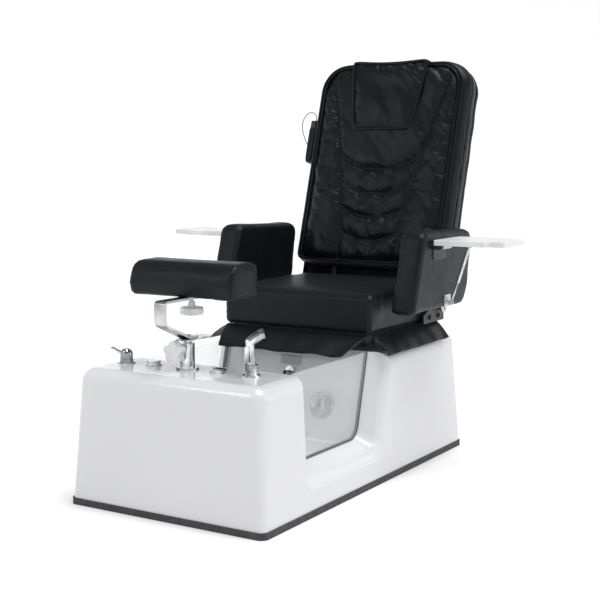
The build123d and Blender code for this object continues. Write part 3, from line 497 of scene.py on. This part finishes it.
def turn_outwards(piece):
    """Makes every face of a closed piece look outwards."""
    work = bmesh.new()
    work.from_mesh(piece.data)
    bmesh.ops.recalc_face_normals(work, faces=work.faces)
    work.to_mesh(piece.data)
    work.free()


def bolster(name, profile, low, high, edge, step):
    """Closed form: a profile in Y and Z pulled along X, its two end edges rounded."""
    outline = rounded(profile, step)
    towards_middle = inward(outline)
    rings = []
    turns = np.linspace(0.0, math.pi / 2, 5)
    starts = [(low + edge * (1 - math.sin(t)), edge * (1 - math.cos(t))) for t in turns[::-1]]
    ends = [(high - edge * (1 - math.sin(t)), edge * (1 - math.cos(t))) for t in turns]
    middles = [(x, 0.0) for x in np.linspace(low + edge, high - edge, math.ceil((high - low) / step))[1:-1]]
    for x, inset in starts + middles + ends:
        flat = outline + towards_middle * inset
        rings.append(np.column_stack([np.full(len(flat), x), flat]))
    piece = add_piece(name, np.vstack(rings), ring_faces(len(rings), len(outline)),
                      "black_upholstery")
    turn_outwards(piece)
    return piece


def apply_modifier(piece):
    """Makes the piece's mesh what its modifiers show, and drops them."""
    evaluated = piece.evaluated_get(bpy.context.evaluated_depsgraph_get())
    mesh = bpy.data.meshes.new_from_object(evaluated)
    piece.modifiers.clear()
    old, piece.data = piece.data, mesh
    mesh.name = piece.name
    bpy.data.meshes.remove(old)


def remesh(piece, voxel):
    """Gives the piece an even mesh for the cloth, slightly smoothed."""
    modifier = piece.modifiers.new("remesh", "REMESH")
    modifier.mode, modifier.voxel_size = "VOXEL", voxel
    apply_modifier(piece)
    soften(piece, 4)
    piece.data.shade_smooth()


def swell(piece, cap, pressure=4.0, growth=0.0, pins=None):
    """Blows the piece up as cloth for 20 frames; no point moves further than cap."""
    rest = coordinates(piece.data)
    cloth = piece.modifiers.new("cloth", "CLOTH")
    settings = cloth.settings
    settings.use_pressure = True
    settings.uniform_pressure_force = pressure
    settings.effector_weights.gravity = 0.0
    settings.shrink_min = -growth
    cloth.collision_settings.use_collision = False
    cloth.point_cache.frame_start, cloth.point_cache.frame_end = 1, 20
    if pins is not None:
        group = piece.vertex_groups.new(name="pins")
        group.add([int(i) for i in pins], 1.0, "REPLACE")
        settings.vertex_group_mass = "pins"
    for number in range(1, 21):
        scene.frame_set(number)
    evaluated = piece.evaluated_get(bpy.context.evaluated_depsgraph_get())
    moved = coordinates(evaluated.data) - rest
    piece.modifiers.clear()
    scene.frame_set(1)
    piece.vertex_groups.clear()
    far = np.linalg.norm(moved, axis=1)
    share = np.where(far > 1e-9, cap * np.tanh(far / cap) / np.maximum(far, 1e-9), 0.0)
    set_coordinates(piece.data, rest + moved * share[:, None])


def soften(piece, rounds):
    smooth = piece.modifiers.new("smooth", "SMOOTH")
    smooth.factor, smooth.iterations = 0.5, rounds
    apply_modifier(piece)


def finer(piece):
    subdivision = piece.modifiers.new("subdivision", "SUBSURF")
    subdivision.levels = subdivision.render_levels = 1
    apply_modifier(piece)
    piece.data.shade_smooth()


def surface_of(piece):
    return BVHTree.FromObject(piece, bpy.context.evaluated_depsgraph_get())


def laid_on(path, surface):
    """The path moved on to a surface."""
    return [surface.find_nearest(Vector(p))[0] for p in path]


def sew(piece, path, depth, width, pucker=0.0, pitch=0.022, reach=0.018, closed=False):
    """Presses a seam into the piece along a path, with small gathers beside it."""
    step = 0.002
    line = spaced(path, step, closed)
    tree = kdtree.KDTree(len(line))
    for i, p in enumerate(line):
        tree.insert(Vector(p), i)
    tree.balance()
    points, ups = coordinates(piece.data), normals(piece.data)
    far = 2.5 * max(width, reach if pucker else 0.0)
    near = np.all((points > line.min(axis=0) - far) & (points < line.max(axis=0) + far), axis=1)
    for k in np.flatnonzero(near):
        _, index, away = tree.find(points[k])
        if away > far:
            continue
        groove = math.exp(-(away / width) ** 2)
        wave = 0.0
        if pucker:
            phase = index * step / pitch
            uneven = noise.noise(Vector((phase * 0.8, 0.0, len(piece.name))))
            beside = math.exp(-(away / reach) ** 2) * (1 - groove)
            wave = pucker * beside * math.sin(2 * math.pi * (phase + 1.3 * uneven))
        points[k] -= ups[k] * (depth * groove - wave)
    set_coordinates(piece.data, points)


def tube(name, path, radius, look, closed=False):
    """Round cord of small radius along a path, as a mesh."""
    curve = bpy.data.curves.new(name, "CURVE")
    curve.dimensions = "3D"
    curve.bevel_depth, curve.bevel_resolution = radius, 3
    curve.use_fill_caps = True
    spline = curve.splines.new("POLY")
    spline.points.add(len(path) - 1)
    for point, place in zip(spline.points, path):
        point.co = (*place, 1.0)
    spline.use_cyclic_u = closed
    holder = bpy.data.objects.new(name + "_line", curve)
    scene.collection.objects.link(holder)
    mesh = bpy.data.meshes.new_from_object(holder.evaluated_get(bpy.context.evaluated_depsgraph_get()))
    bpy.data.objects.remove(holder)
    bpy.data.curves.remove(curve)
    mesh.name = name
    mesh.materials.clear()
    mesh.materials.append(LOOKS[look])
    mesh.shade_smooth()
    piece = bpy.data.objects.new(name, mesh)
    scene.collection.objects.link(piece)
    return piece


def stitches(name, paths, surface, look="thread"):
    """Rows of short raised stitches that lie on a surface along the paths."""
    points, faces = [], []
    sides = 5
    for path in paths:
        line = spaced(path, STITCH_GAP)
        for start, following in zip(line, line[1:]):
            ahead = Vector(following - start)
            ahead.normalize()
            ends = []
            for along, lift, thick in ((0.0, -0.4, 0.5), (0.2, 0.9, 1.0), (0.8, 0.9, 1.0), (1.0, -0.4, 0.5)):
                ends.append((Vector(start) + ahead * STITCH_LENGTH * along, lift, thick))
            place, up, _, _ = surface.find_nearest(Vector(start) + ahead * STITCH_LENGTH / 2)
            across = ahead.cross(up).normalized()
            first = len(points)
            for end, lift, thick in ends:
                drop = (end - place).dot(up)
                centre = end - up * drop + up * lift * THREAD
                for k in range(sides):
                    turn = 2 * math.pi * k / sides
                    points.append(centre + (across * math.cos(turn) + up * math.sin(turn)) * THREAD * thick)
            faces += [tuple(first + i for i in f) for f in ring_faces(len(ends), sides)]
    return add_piece(name, points, faces, look)


# ---------------------------------------------------------------- remote cord
def remote_lead():
    """The remote's lead: up out of the remote, over in a loop and back into the shell's side."""
    curve = bpy.data.curves.new("remote_lead", "CURVE")
    curve.dimensions = "3D"
    curve.bevel_depth, curve.bevel_resolution = CORD_DIAMETER / 2, 4
    curve.resolution_u = 12
    curve.use_fill_caps = True
    spline = curve.splines.new("NURBS")
    spline.points.add(len(CORD_ROUTE) - 1)
    for point, place in zip(spline.points, CORD_ROUTE):
        point.co = (*lean(*place), 1.0)
    spline.order_u = 3
    spline.use_endpoint_u = True
    curve.materials.append(LOOKS["cord_rubber"])
    lead = bpy.data.objects.new("remote_lead", curve)
    scene.collection.objects.link(lead)
    settle(lead, "backrest", "cord_rubber", "remote_cord")


# ---------------------------------------------------------------- backrest
def body_outline(foot=PANEL_LOW):
    """The panel's outline in its own plane, with rounded top corners."""
    return [(-PANEL_HALF, foot, 0.020), (PANEL_HALF, foot, 0.020),
            (PANEL_HALF, PANEL_TOP, PANEL_CORNER), (-PANEL_HALF, PANEL_TOP, PANEL_CORNER)]


def grown(outline, grow):
    """The outline moved outwards, less at its top and foot than at its sides."""
    share = np.where(outline[:, 1] > PANEL_TOP / 2, TOP_SHARE, FOOT_SHARE)
    return outline - inward(outline) * grow * np.column_stack([np.ones(len(outline)), share])


def side_seam(height):
    """Distance of the side seam from the middle, at a height along the back."""
    return 0.118 + 0.115 * (max(height, 0.0) / 0.68) ** 1.6


def panel_seams():
    """The panel's seams in its own plane: two side seams and four sagging cross seams."""
    lines = []
    heights = np.linspace(PANEL_LOW, SEAM_TOP, 40)
    for side in (-1, 1):
        lines.append([(side * side_seam(h), h) for h in heights])
    for ends, middle in CROSS_SEAMS:
        half = side_seam(ends)
        lines.append([(x, middle + (ends - middle) * (x / half) ** 2) for x in np.linspace(-half, half, 40)])
    return lines


def panel_half(height):
    """Half the panel's width at a height, rounded at its top corners."""
    over = max(0.0, height - (PANEL_TOP - PANEL_CORNER))
    under = max(0.0, 0.018 - (height - PANEL_LOW))
    return (PANEL_HALF - PANEL_CORNER + math.sqrt(PANEL_CORNER ** 2 - over ** 2)
            - (0.018 - math.sqrt(max(0.0, 0.018 ** 2 - under ** 2))))


def panel_heights(step):
    straight = np.arange(PANEL_LOW, PANEL_TOP - PANEL_CORNER, step)
    turns = np.linspace(0.0, math.pi / 2, 22)
    return list(straight) + [PANEL_TOP - PANEL_CORNER + PANEL_CORNER * math.sin(t) for t in turns]


def crease(a, b):
    """Soft drag folds of a loose cover that fall from the upper left to the lower right, about -1 to 1."""
    along = a * 0.62 - b * 0.78
    across = a * 0.78 + b * 0.62
    bend = 0.035 * noise.noise(Vector((a * 4.0, b * 4.0, 9.7)))
    broad = noise.noise(Vector((along * 4.5, (across + bend) * 15.0, 0.3)))
    narrow = noise.noise(Vector((along * 9.0, (across + bend) * 34.0, 4.1)))
    return 1.25 * broad * abs(broad) ** 0.35 + 0.45 * narrow


def back_panel():
    """Stitched front panel: a loose cover held down along its seams."""
    columns = int(2 * PANEL_HALF / PANEL_STEP)
    shares = np.linspace(-1.0, 1.0, columns)
    flat = [(share * panel_half(h), h) for h in panel_heights(PANEL_STEP) for share in shares]
    rows = len(flat) // columns
    seam_points = [p for line in panel_seams() for p in spaced(line, 0.003)]
    tree = kdtree.KDTree(len(seam_points))
    for i, (x, h) in enumerate(seam_points):
        tree.insert((x, h, 0.0), i)
    tree.balance()
    points, pins = [], []
    for i, (x, h) in enumerate(flat):
        _, _, away = tree.find((x, h, 0.0))
        row, column = divmod(i, columns)
        rim = row in (0, rows - 1) or column in (0, columns - 1)
        border = min(panel_half(h) - abs(x), h - PANEL_LOW, PANEL_TOP - h)
        puff = 1 - math.exp(-(away / PUFF_REACH) ** 2)
        edge = 1 - math.exp(-(max(border, 0.0) / EDGE_REACH) ** 2)
        fold = FOLD_RISE * crease(x, h)
        depth = BORDER_DEPTH - EDGE_RISE * edge - PUFF_RISE * puff * edge - fold * puff * edge
        points.append(lean(x, depth, h))
        if rim or away < 0.55 * PANEL_STEP:
            pins.append(i)
    faces = []
    for r in range(rows - 1):
        for c in range(columns - 1):
            a = r * columns + c
            faces.append((a, a + 1, a + columns + 1, a + columns))
    panel = add_piece("back_cover_panel", points, faces, "black_upholstery")
    swell(panel, 0.008, pressure=9.0, growth=0.03, pins=pins)
    soften(panel, 1)
    finer(panel)
    paths = [[lean(x, 0.0, h) for x, h in line] for line in panel_seams()]
    surface = surface_of(panel)
    laid = [laid_on(spaced(path, 0.004), surface) for path in paths]
    for path in laid:
        sew(panel, path, 0.0042, 0.0038, pucker=0.0010, pitch=0.026, reach=0.018)
    settle(panel, "backrest", "black_upholstery", "back_panel")
    rows_of_thread = []
    surface = surface_of(panel)
    for path in laid:
        line = np.array([tuple(p) for p in path])
        along = np.gradient(line, axis=0)
        across = np.cross(along, np.array(INTO_BACK))
        across /= np.linalg.norm(across, axis=1)[:, None]
        rows_of_thread += [line + across * STITCH_BESIDE, line - across * STITCH_BESIDE]
    thread_piece = stitches("back_panel_stitches", rows_of_thread, surface)
    settle(thread_piece, "backrest", "black_upholstery")


def back_body():
    """Padded surround with a zip seam round it, and the padded rear cover."""
    front_line = rounded(body_outline(), 0.008)
    rear_line = rounded(body_outline(REAR_FOOT + FOOT_SHARE * BODY_GROW), 0.008)
    body_layer("back_surround", SHOULDER, front_line, "back_foam")
    body_layer("back_rear_cover", REAR, rear_line, "back_shell")
    line = rounded(body_outline(), 0.006)
    for name, grow, depth, radius in PIPINGS:
        path = [lean(x, depth, h) for x, h in grown(line, grow)]
        piece = tube(name, path, radius, "black_upholstery", closed=True)
        settle(piece, "backrest", "black_upholstery")


def body_layer(name, profile, line, node):
    """One skin of the back's padded body: rings round an outline, slightly uneven like filled cloth."""
    points = []
    for grow, depth in profile:
        if grow < -0.02:
            middle = np.array((0.0, PANEL_TOP / 2))
            ring = middle + (line - middle) * (1 + grow / PANEL_HALF)
        else:
            ring = grown(line, grow)
        for x, h in ring:
            wave = 0.0022 * noise.noise(Vector((x * 9.0, h * 16.0, depth * 30.0)))
            fine = 0.0009 * noise.noise(Vector((x * 20.0, h * 60.0, depth * 50.0)))
            points.append(lean(x + (wave + fine) * (1 if x > 0 else -1), depth + wave, h))
    faces = ring_faces(len(profile), len(line), first_cap=False, last_cap=False)
    if node == "back_shell":
        faces += zipped_cap((len(profile) - 1) * len(line), len(line))
    piece = add_piece(name, points, faces, "black_upholstery")
    finer(piece)
    settle(piece, "backrest", "black_upholstery", node)
    return piece


def head_pillow():
    """Trapezoid pillow with piping round its edge, and the two straps that hold it."""
    across, up = 44, 38
    def place(u, v, depth):
        w = 2 * v - 1
        half = PILLOW_LOW_HALF + (PILLOW_TOP_HALF - PILLOW_LOW_HALF) * v
        x = half * u * (1 - 0.035 * w ** 8)
        height = (PILLOW_LOW + PILLOW_TOP) / 2 + (PILLOW_TOP - PILLOW_LOW) / 2 * w * (1 - 0.035 * u ** 8)
        return lean(x, depth, height - PILLOW_SAG * v ** 3 * (1 - u ** 2))
    points, pins, faces = [], [], []
    grid = {}
    for layer in (0, 1):
        for j in range(up + 1):
            for i in range(across + 1):
                rim = i in (0, across) or j in (0, up)
                if layer and rim:
                    grid[layer, i, j] = grid[0, i, j]
                    continue
                u, v = 2 * i / across - 1, j / up
                dome = (1 - u ** 4) * (1 - (2 * v - 1) ** 4)
                fold = crease(u * 0.13 + 1.0, v * 0.26)
                rise = PILLOW_FRONT * dome + PILLOW_FOLD * fold * dome
                depth = PILLOW_RIM + (PILLOW_BEHIND * dome if layer else -rise)
                grid[layer, i, j] = len(points)
                if rim or layer:
                    pins.append(len(points))
                points.append(place(u, v, depth))
    for layer in (0, 1):
        for j in range(up):
            for i in range(across):
                face = (grid[layer, i, j], grid[layer, i + 1, j], grid[layer, i + 1, j + 1],
                        grid[layer, i, j + 1])
                faces.append(face[::-1] if layer else face)
    shares = np.linspace(0, 1, 40)
    rim = [(-1 + 2 * t, 0.0) for t in shares] + [(1.0, t) for t in shares[1:]]
    rim += [(1 - 2 * t, 1.0) for t in shares[1:]] + [(-1.0, 1 - t) for t in shares[1:-1]]
    pillow = add_piece("head_pillow_cushion", points, faces, "black_upholstery")
    turn_outwards(pillow)
    swell(pillow, 0.008, pressure=9.0, growth=0.05, pins=pins)
    finer(pillow)
    border = [(0.93 * u, 0.5 + 0.92 * (v - 0.5)) for u, v in rim]
    seam = laid_on([place(u, v, PILLOW_RIM) for u, v in border], surface_of(pillow))
    sew(pillow, seam, 0.0034, 0.0034, pucker=0.0006, pitch=0.024, reach=0.014, closed=True)
    settle(pillow, "backrest", "black_upholstery", "head_pillow")
    piping = tube("head_pillow_piping", [place(u, v, PILLOW_RIM - 0.002) for u, v in rim], PILLOW_PIPING,
                  "black_upholstery", closed=True)
    settle(piping, "backrest", "black_upholstery")
    for side in (-1, 1):
        strap(side)


def strap(side):
    """Flat strap from the pillow over the top of the back and down behind it."""
    over = PANEL_TOP + TOP_SHARE * BODY_GROW
    route = [(PILLOW_RIM + 0.006, PILLOW_TOP - 0.012), (-0.006, PILLOW_TOP + 0.004), (0.014, over + 0.001),
             (0.050, over + 0.0035), (0.090, over + 0.003), (0.112, over - 0.006),
             (BACK_DEPTH + 0.005, over - 0.030), (BACK_DEPTH + 0.0065, 0.640)]
    line = spaced(route, 0.006)
    for _ in range(4):
        line[1:-1] = (line[:-2] + 2 * line[1:-1] + line[2:]) / 4
    points = []
    along = np.gradient(line, axis=0)
    out = np.column_stack([-along[:, 1], along[:, 0]])
    out /= np.linalg.norm(out, axis=1)[:, None]
    section = [(-0.5, 0.0), (-0.42, 1.0), (0.42, 1.0), (0.5, 0.0), (0.42, -0.2), (-0.42, -0.2)]
    for (depth, height), (a, b) in zip(line, out):
        for share, lift in section:
            points.append(lean(side * STRAP_X + share * STRAP_WIDTH, depth + a * lift * STRAP_THICK,
                               height + b * lift * STRAP_THICK))
    faces = ring_faces(len(line), len(section))
    name = "pillow_strap_right" if side > 0 else "pillow_strap_left"
    piece = add_piece(name, points, faces, "black_upholstery")
    turn_outwards(piece)
    finer(piece)
    settle(piece, "backrest", "black_upholstery", "head_pillow")


def remote_sleeve():
    """Sewn sleeve on the side of the back, open at the top, for the remote."""
    rings = []
    levels = [(SLEEVE_LOW, -0.004), (SLEEVE_LOW + 0.003, 0.0), (SLEEVE_LOW + 0.05, 0.0005),
              (SLEEVE_TOP - 0.02, 0.0), (SLEEVE_TOP - 0.003, 0.0004), (SLEEVE_TOP, -0.001),
              (SLEEVE_TOP - 0.001, -SLEEVE_WALL), (SLEEVE_TOP - 0.05, -SLEEVE_WALL)]
    for height, grow in levels:
        corners = box_corners(SLEEVE_HALF_X + grow, SLEEVE_HALF_DEEP + grow, SLEEVE_CORNER)
        outline = rounded([(x + SLEEVE_MIDDLE, d + SLEEVE_DEPTH, r) for x, d, r in corners], 0.004)
        rings += [lean(x, depth, height) for x, depth in resampled(outline, 40)]
    piece = add_piece("remote_sleeve", rings, ring_faces(len(levels), 40), "black_upholstery")
    turn_outwards(piece)
    finer(piece)
    settle(piece, "backrest", "black_upholstery", "remote_pocket")


# ---------------------------------------------------------------- basin
def label_plate():
    """Blank plate on the basin's rear wall, its face parallel to the wall."""
    (foot_y, foot_z), (rim_y, rim_z) = WALL_FOOT, WALL_RIM
    slope = math.atan2(rim_y - foot_y, rim_z - foot_z)
    out = Vector((0.0, -math.cos(slope), math.sin(slope)))
    middle = Vector((LABEL_X, foot_y + (LABEL_Z - foot_z) * math.tan(slope), LABEL_Z))
    up = Vector((0.0, math.sin(slope), math.cos(slope)))
    points = []
    for inset, lift in ((0.0, 0.0002), (0.0, 0.0013), (0.0006, 0.0018), (0.003, 0.0018)):
        corners = box_corners(LABEL_HALF_WIDE - inset, LABEL_HALF_TALL - inset, LABEL_CORNER - inset)
        ring = resampled(rounded(corners, 0.002), 60)
        points += [middle + Vector((x, 0.0, 0.0)) + up * h + out * lift for x, h in ring]
    plate = add_piece("label_plate", points, ring_faces(4, 60), "grey_plastic")
    turn_outwards(plate)
    settle(plate, "base", "grey_plastic")


# ---------------------------------------------------------------- seat
def profile_line(profile, x, inset=0.0, step=0.004):
    """The closed profile at one place across, set in towards its middle."""
    outline = rounded(profile, step)
    outline = outline + inward(outline) * inset
    return [(x, y, z) for y, z in outline]


def upholster(name, profile, low, high, edge, voxel, cap, crown, seams, body, node):
    """A taut upholstered block with sewn edges: swollen form, pressed seams, stitches beside them."""
    piece = bolster(name, profile, low, high, edge, voxel * 1.6)
    remesh(piece, voxel)
    swell(piece, cap)
    crown(piece)
    finer(piece)
    rest = surface_of(piece)
    threads = []
    for x, side in seams:
        line = laid_on(profile_line(profile, x), rest)
        sew(piece, line, 0.0022, 0.0028, pucker=0.0007, pitch=0.016, reach=0.012, closed=True)
        threads.append([p + Vector((side * 0.0045, 0.0, 0.0)) for p in line])
    settle(piece, body, "black_upholstery", node)
    thread_piece = stitches(name + "_stitches", threads, surface_of(piece))
    settle(thread_piece, body, "black_upholstery")
    return piece


def keep_flat(points, axis, low=None, high=None):
    """Presses the points flat where they pass low or high on an axis."""
    if low is not None:
        points[:, axis] = np.maximum(points[:, axis], low)
    if high is not None:
        points[:, axis] = np.minimum(points[:, axis], high)


def seat_cushion():
    low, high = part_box("seat_cushion")
    def crown(piece):
        points = coordinates(piece.data)
        top = np.clip((points[:, 2] - (high.z - 0.03)) / 0.03, 0.0, 1.0)
        x = points[:, 0] / high.x
        y = (points[:, 1] - low.y) / (high.y - low.y) * 2 - 1
        points[:, 2] += 0.006 * top * (1 - x ** 4) * (1 - np.clip(y, -1, 1) ** 4)
        keep_flat(points, 2, low=low.z)
        keep_flat(points, 1, high=high.y + 0.002)
        set_coordinates(piece.data, points)
    inset = 0.007
    upholster("seat_cushion_cover", SEAT_PROFILE, low.x, high.x, 0.010, 0.007, 0.005, crown,
              [(low.x + inset, 1), (high.x - inset, -1)], "seat", "seat_cushion")


def armrests():
    for side in (-1, 1):
        name = "armrest_right" if side > 0 else "armrest_left"
        body = "arm_right" if side > 0 else "arm_left"
        low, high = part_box(name)
        def crown(piece):
            points = coordinates(piece.data)
            top = np.clip((points[:, 2] - (high.z - 0.05)) / 0.05, 0.0, 1.0)
            x = (points[:, 0] - low.x) / (high.x - low.x) * 2 - 1
            points[:, 2] += 0.005 * top * (1 - np.clip(x, -1, 1) ** 2)
            keep_flat(points, 0, low.x - 0.0008, high.x + 0.0008)
            set_coordinates(piece.data, points)
        inset = 0.009
        upholster(name + "_pad", ARM_PROFILE, low.x, high.x, 0.012, 0.006, 0.004, crown,
                  [(low.x + inset, 1), (high.x - inset, -1)], body, name)


def footrest_bolster():
    low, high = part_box("footrest_cushion")
    def crown(piece):
        points = coordinates(piece.data)
        keep_flat(points, 2, low=low.z)
        set_coordinates(piece.data, points)
    inset = 0.006
    upholster("footrest_bolster", REST_PROFILE, low.x, high.x, 0.009, 0.005, 0.004, crown,
              [(low.x + inset, 1), (high.x - inset, -1)], "footrest_pad", "footrest_cushion")


def hanging_flap(name, corners, wave):
    """Vinyl flap between four corners, top edge first, that bellies and ripples towards its hem."""
    a, b, c, d = [Vector(p) for p in corners]
    across, down = 56, 18
    outward = (b - a).cross(d - a).normalized()
    if outward.z > 0:
        outward = -outward
    points, faces = [], []
    for j in range(down + 1):
        v = j / down
        for i in range(across + 1):
            u = i / across
            p = a.lerp(b, u).lerp(d.lerp(c, u), v)
            belly = 0.006 * math.sin(math.pi * v)
            ripple = wave * v * (noise.noise(Vector((u * 7.0, v * 1.2, len(name)))) - 0.1)
            points.append(p - outward * (belly + ripple))
    for j in range(down):
        for i in range(across):
            k = j * (across + 1) + i
            faces.append((k, k + 1, k + across + 2, k + across + 1))
    piece = add_piece(name, points, faces, "black_upholstery")
    hem = [(a.lerp(b, u).lerp(d.lerp(c, u), 0.9)) for u in np.linspace(0.02, 0.98, 60)]
    line = laid_on(hem, surface_of(piece))
    finer(piece)
    sew(piece, line, 0.0009, 0.0022)
    solid = piece.modifiers.new("thickness", "SOLIDIFY")
    solid.thickness, solid.offset = 0.0016, 0.0
    apply_modifier(piece)
    piece.data.shade_smooth()
    settle(piece, "seat", "black_upholstery", "seat_skirt")
    thread_piece = stitches(name + "_stitches", [line], surface_of(piece))
    settle(thread_piece, "seat", "black_upholstery")


def seat_skirt():
    """Three flaps that hang from the underside of the seat cushion: front, right and left."""
    seat_low, seat_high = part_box("seat_cushion")
    half, under = seat_high.x - 0.008, seat_low.z - 0.002
    front = seat_low.y + 0.012
    corners = [(-half, front, under), (half, front, under), (FRONT_HEM_HALF, FRONT_HEM_Y, HEM_Z),
               (-FRONT_HEM_HALF, FRONT_HEM_Y, HEM_Z)]
    hanging_flap("skirt_front", corners, 0.008)
    for side, name in ((1, "skirt_right"), (-1, "skirt_left")):
        top_x, hem_x = side * (half - 0.004), side * SIDE_HEM_X
        corners = [(top_x, SIDE_TOP[0], under), (top_x, SIDE_TOP[1], under), (hem_x, SIDE_HEM[1], HEM_Z),
                   (hem_x, SIDE_HEM[0], HEM_Z)]
        hanging_flap(name, corners, 0.005)


# ---------------------------------------------------------------- stage
def floor():
    """A pale floor that rises into a wide bowl all round."""
    flat, reach, rise = 6.5, 14.0, 0.10
    turns = 96
    radii = [0.02, 2.0, 4.0, flat] + list(np.linspace(flat, reach, 14))[1:]
    points = []
    for radius in radii:
        height = rise * max(0.0, radius - flat) ** 2
        for k in range(turns):
            turn = 2 * math.pi * k / turns
            points.append((radius * math.cos(turn), radius * math.sin(turn), height))
    faces = ring_faces(len(radii), turns, last_cap=False)
    add_piece("floor", points, faces, "floor_paint")


def area_light(name, place, target, size, power):
    """Round soft light that faces its target."""
    data = bpy.data.lights.new(name, "AREA")
    data.shape, data.size, data.energy = "DISK", size, power
    light = bpy.data.objects.new(name, data)
    light.location = place
    light.rotation_euler = (Vector(target) - Vector(place)).to_track_quat("-Z", "Y").to_euler()
    scene.collection.objects.link(light)


def light():
    """Pale surroundings, a broad light from overhead and two soft ones."""
    world = bpy.data.worlds.new("studio")
    world.use_nodes = True
    background = world.node_tree.nodes["Background"]
    background.inputs["Color"].default_value = (1.0, 1.0, 1.0, 1.0)
    background.inputs["Strength"].default_value = WORLD_STRENGTH
    scene.world = world
    data = bpy.data.lights.new("overhead", "SUN")
    data.energy, data.angle = SUN_STRENGTH, SUN_ANGLE
    overhead = bpy.data.objects.new("overhead", data)
    overhead.rotation_euler = (-SUN_FROM).to_track_quat("-Z", "Y").to_euler()
    scene.collection.objects.link(overhead)
    for name, place, target, size, power in SOFT_LIGHTS:
        area_light(name, place, target, size, power)
    scene.view_settings.view_transform = "Standard"


make_camera()
remote_lead()
paint_frame()
back_panel()
back_body()
head_pillow()
remote_sleeve()
label_plate()
seat_cushion()
armrests()
footrest_bolster()
seat_skirt()
floor()
light()
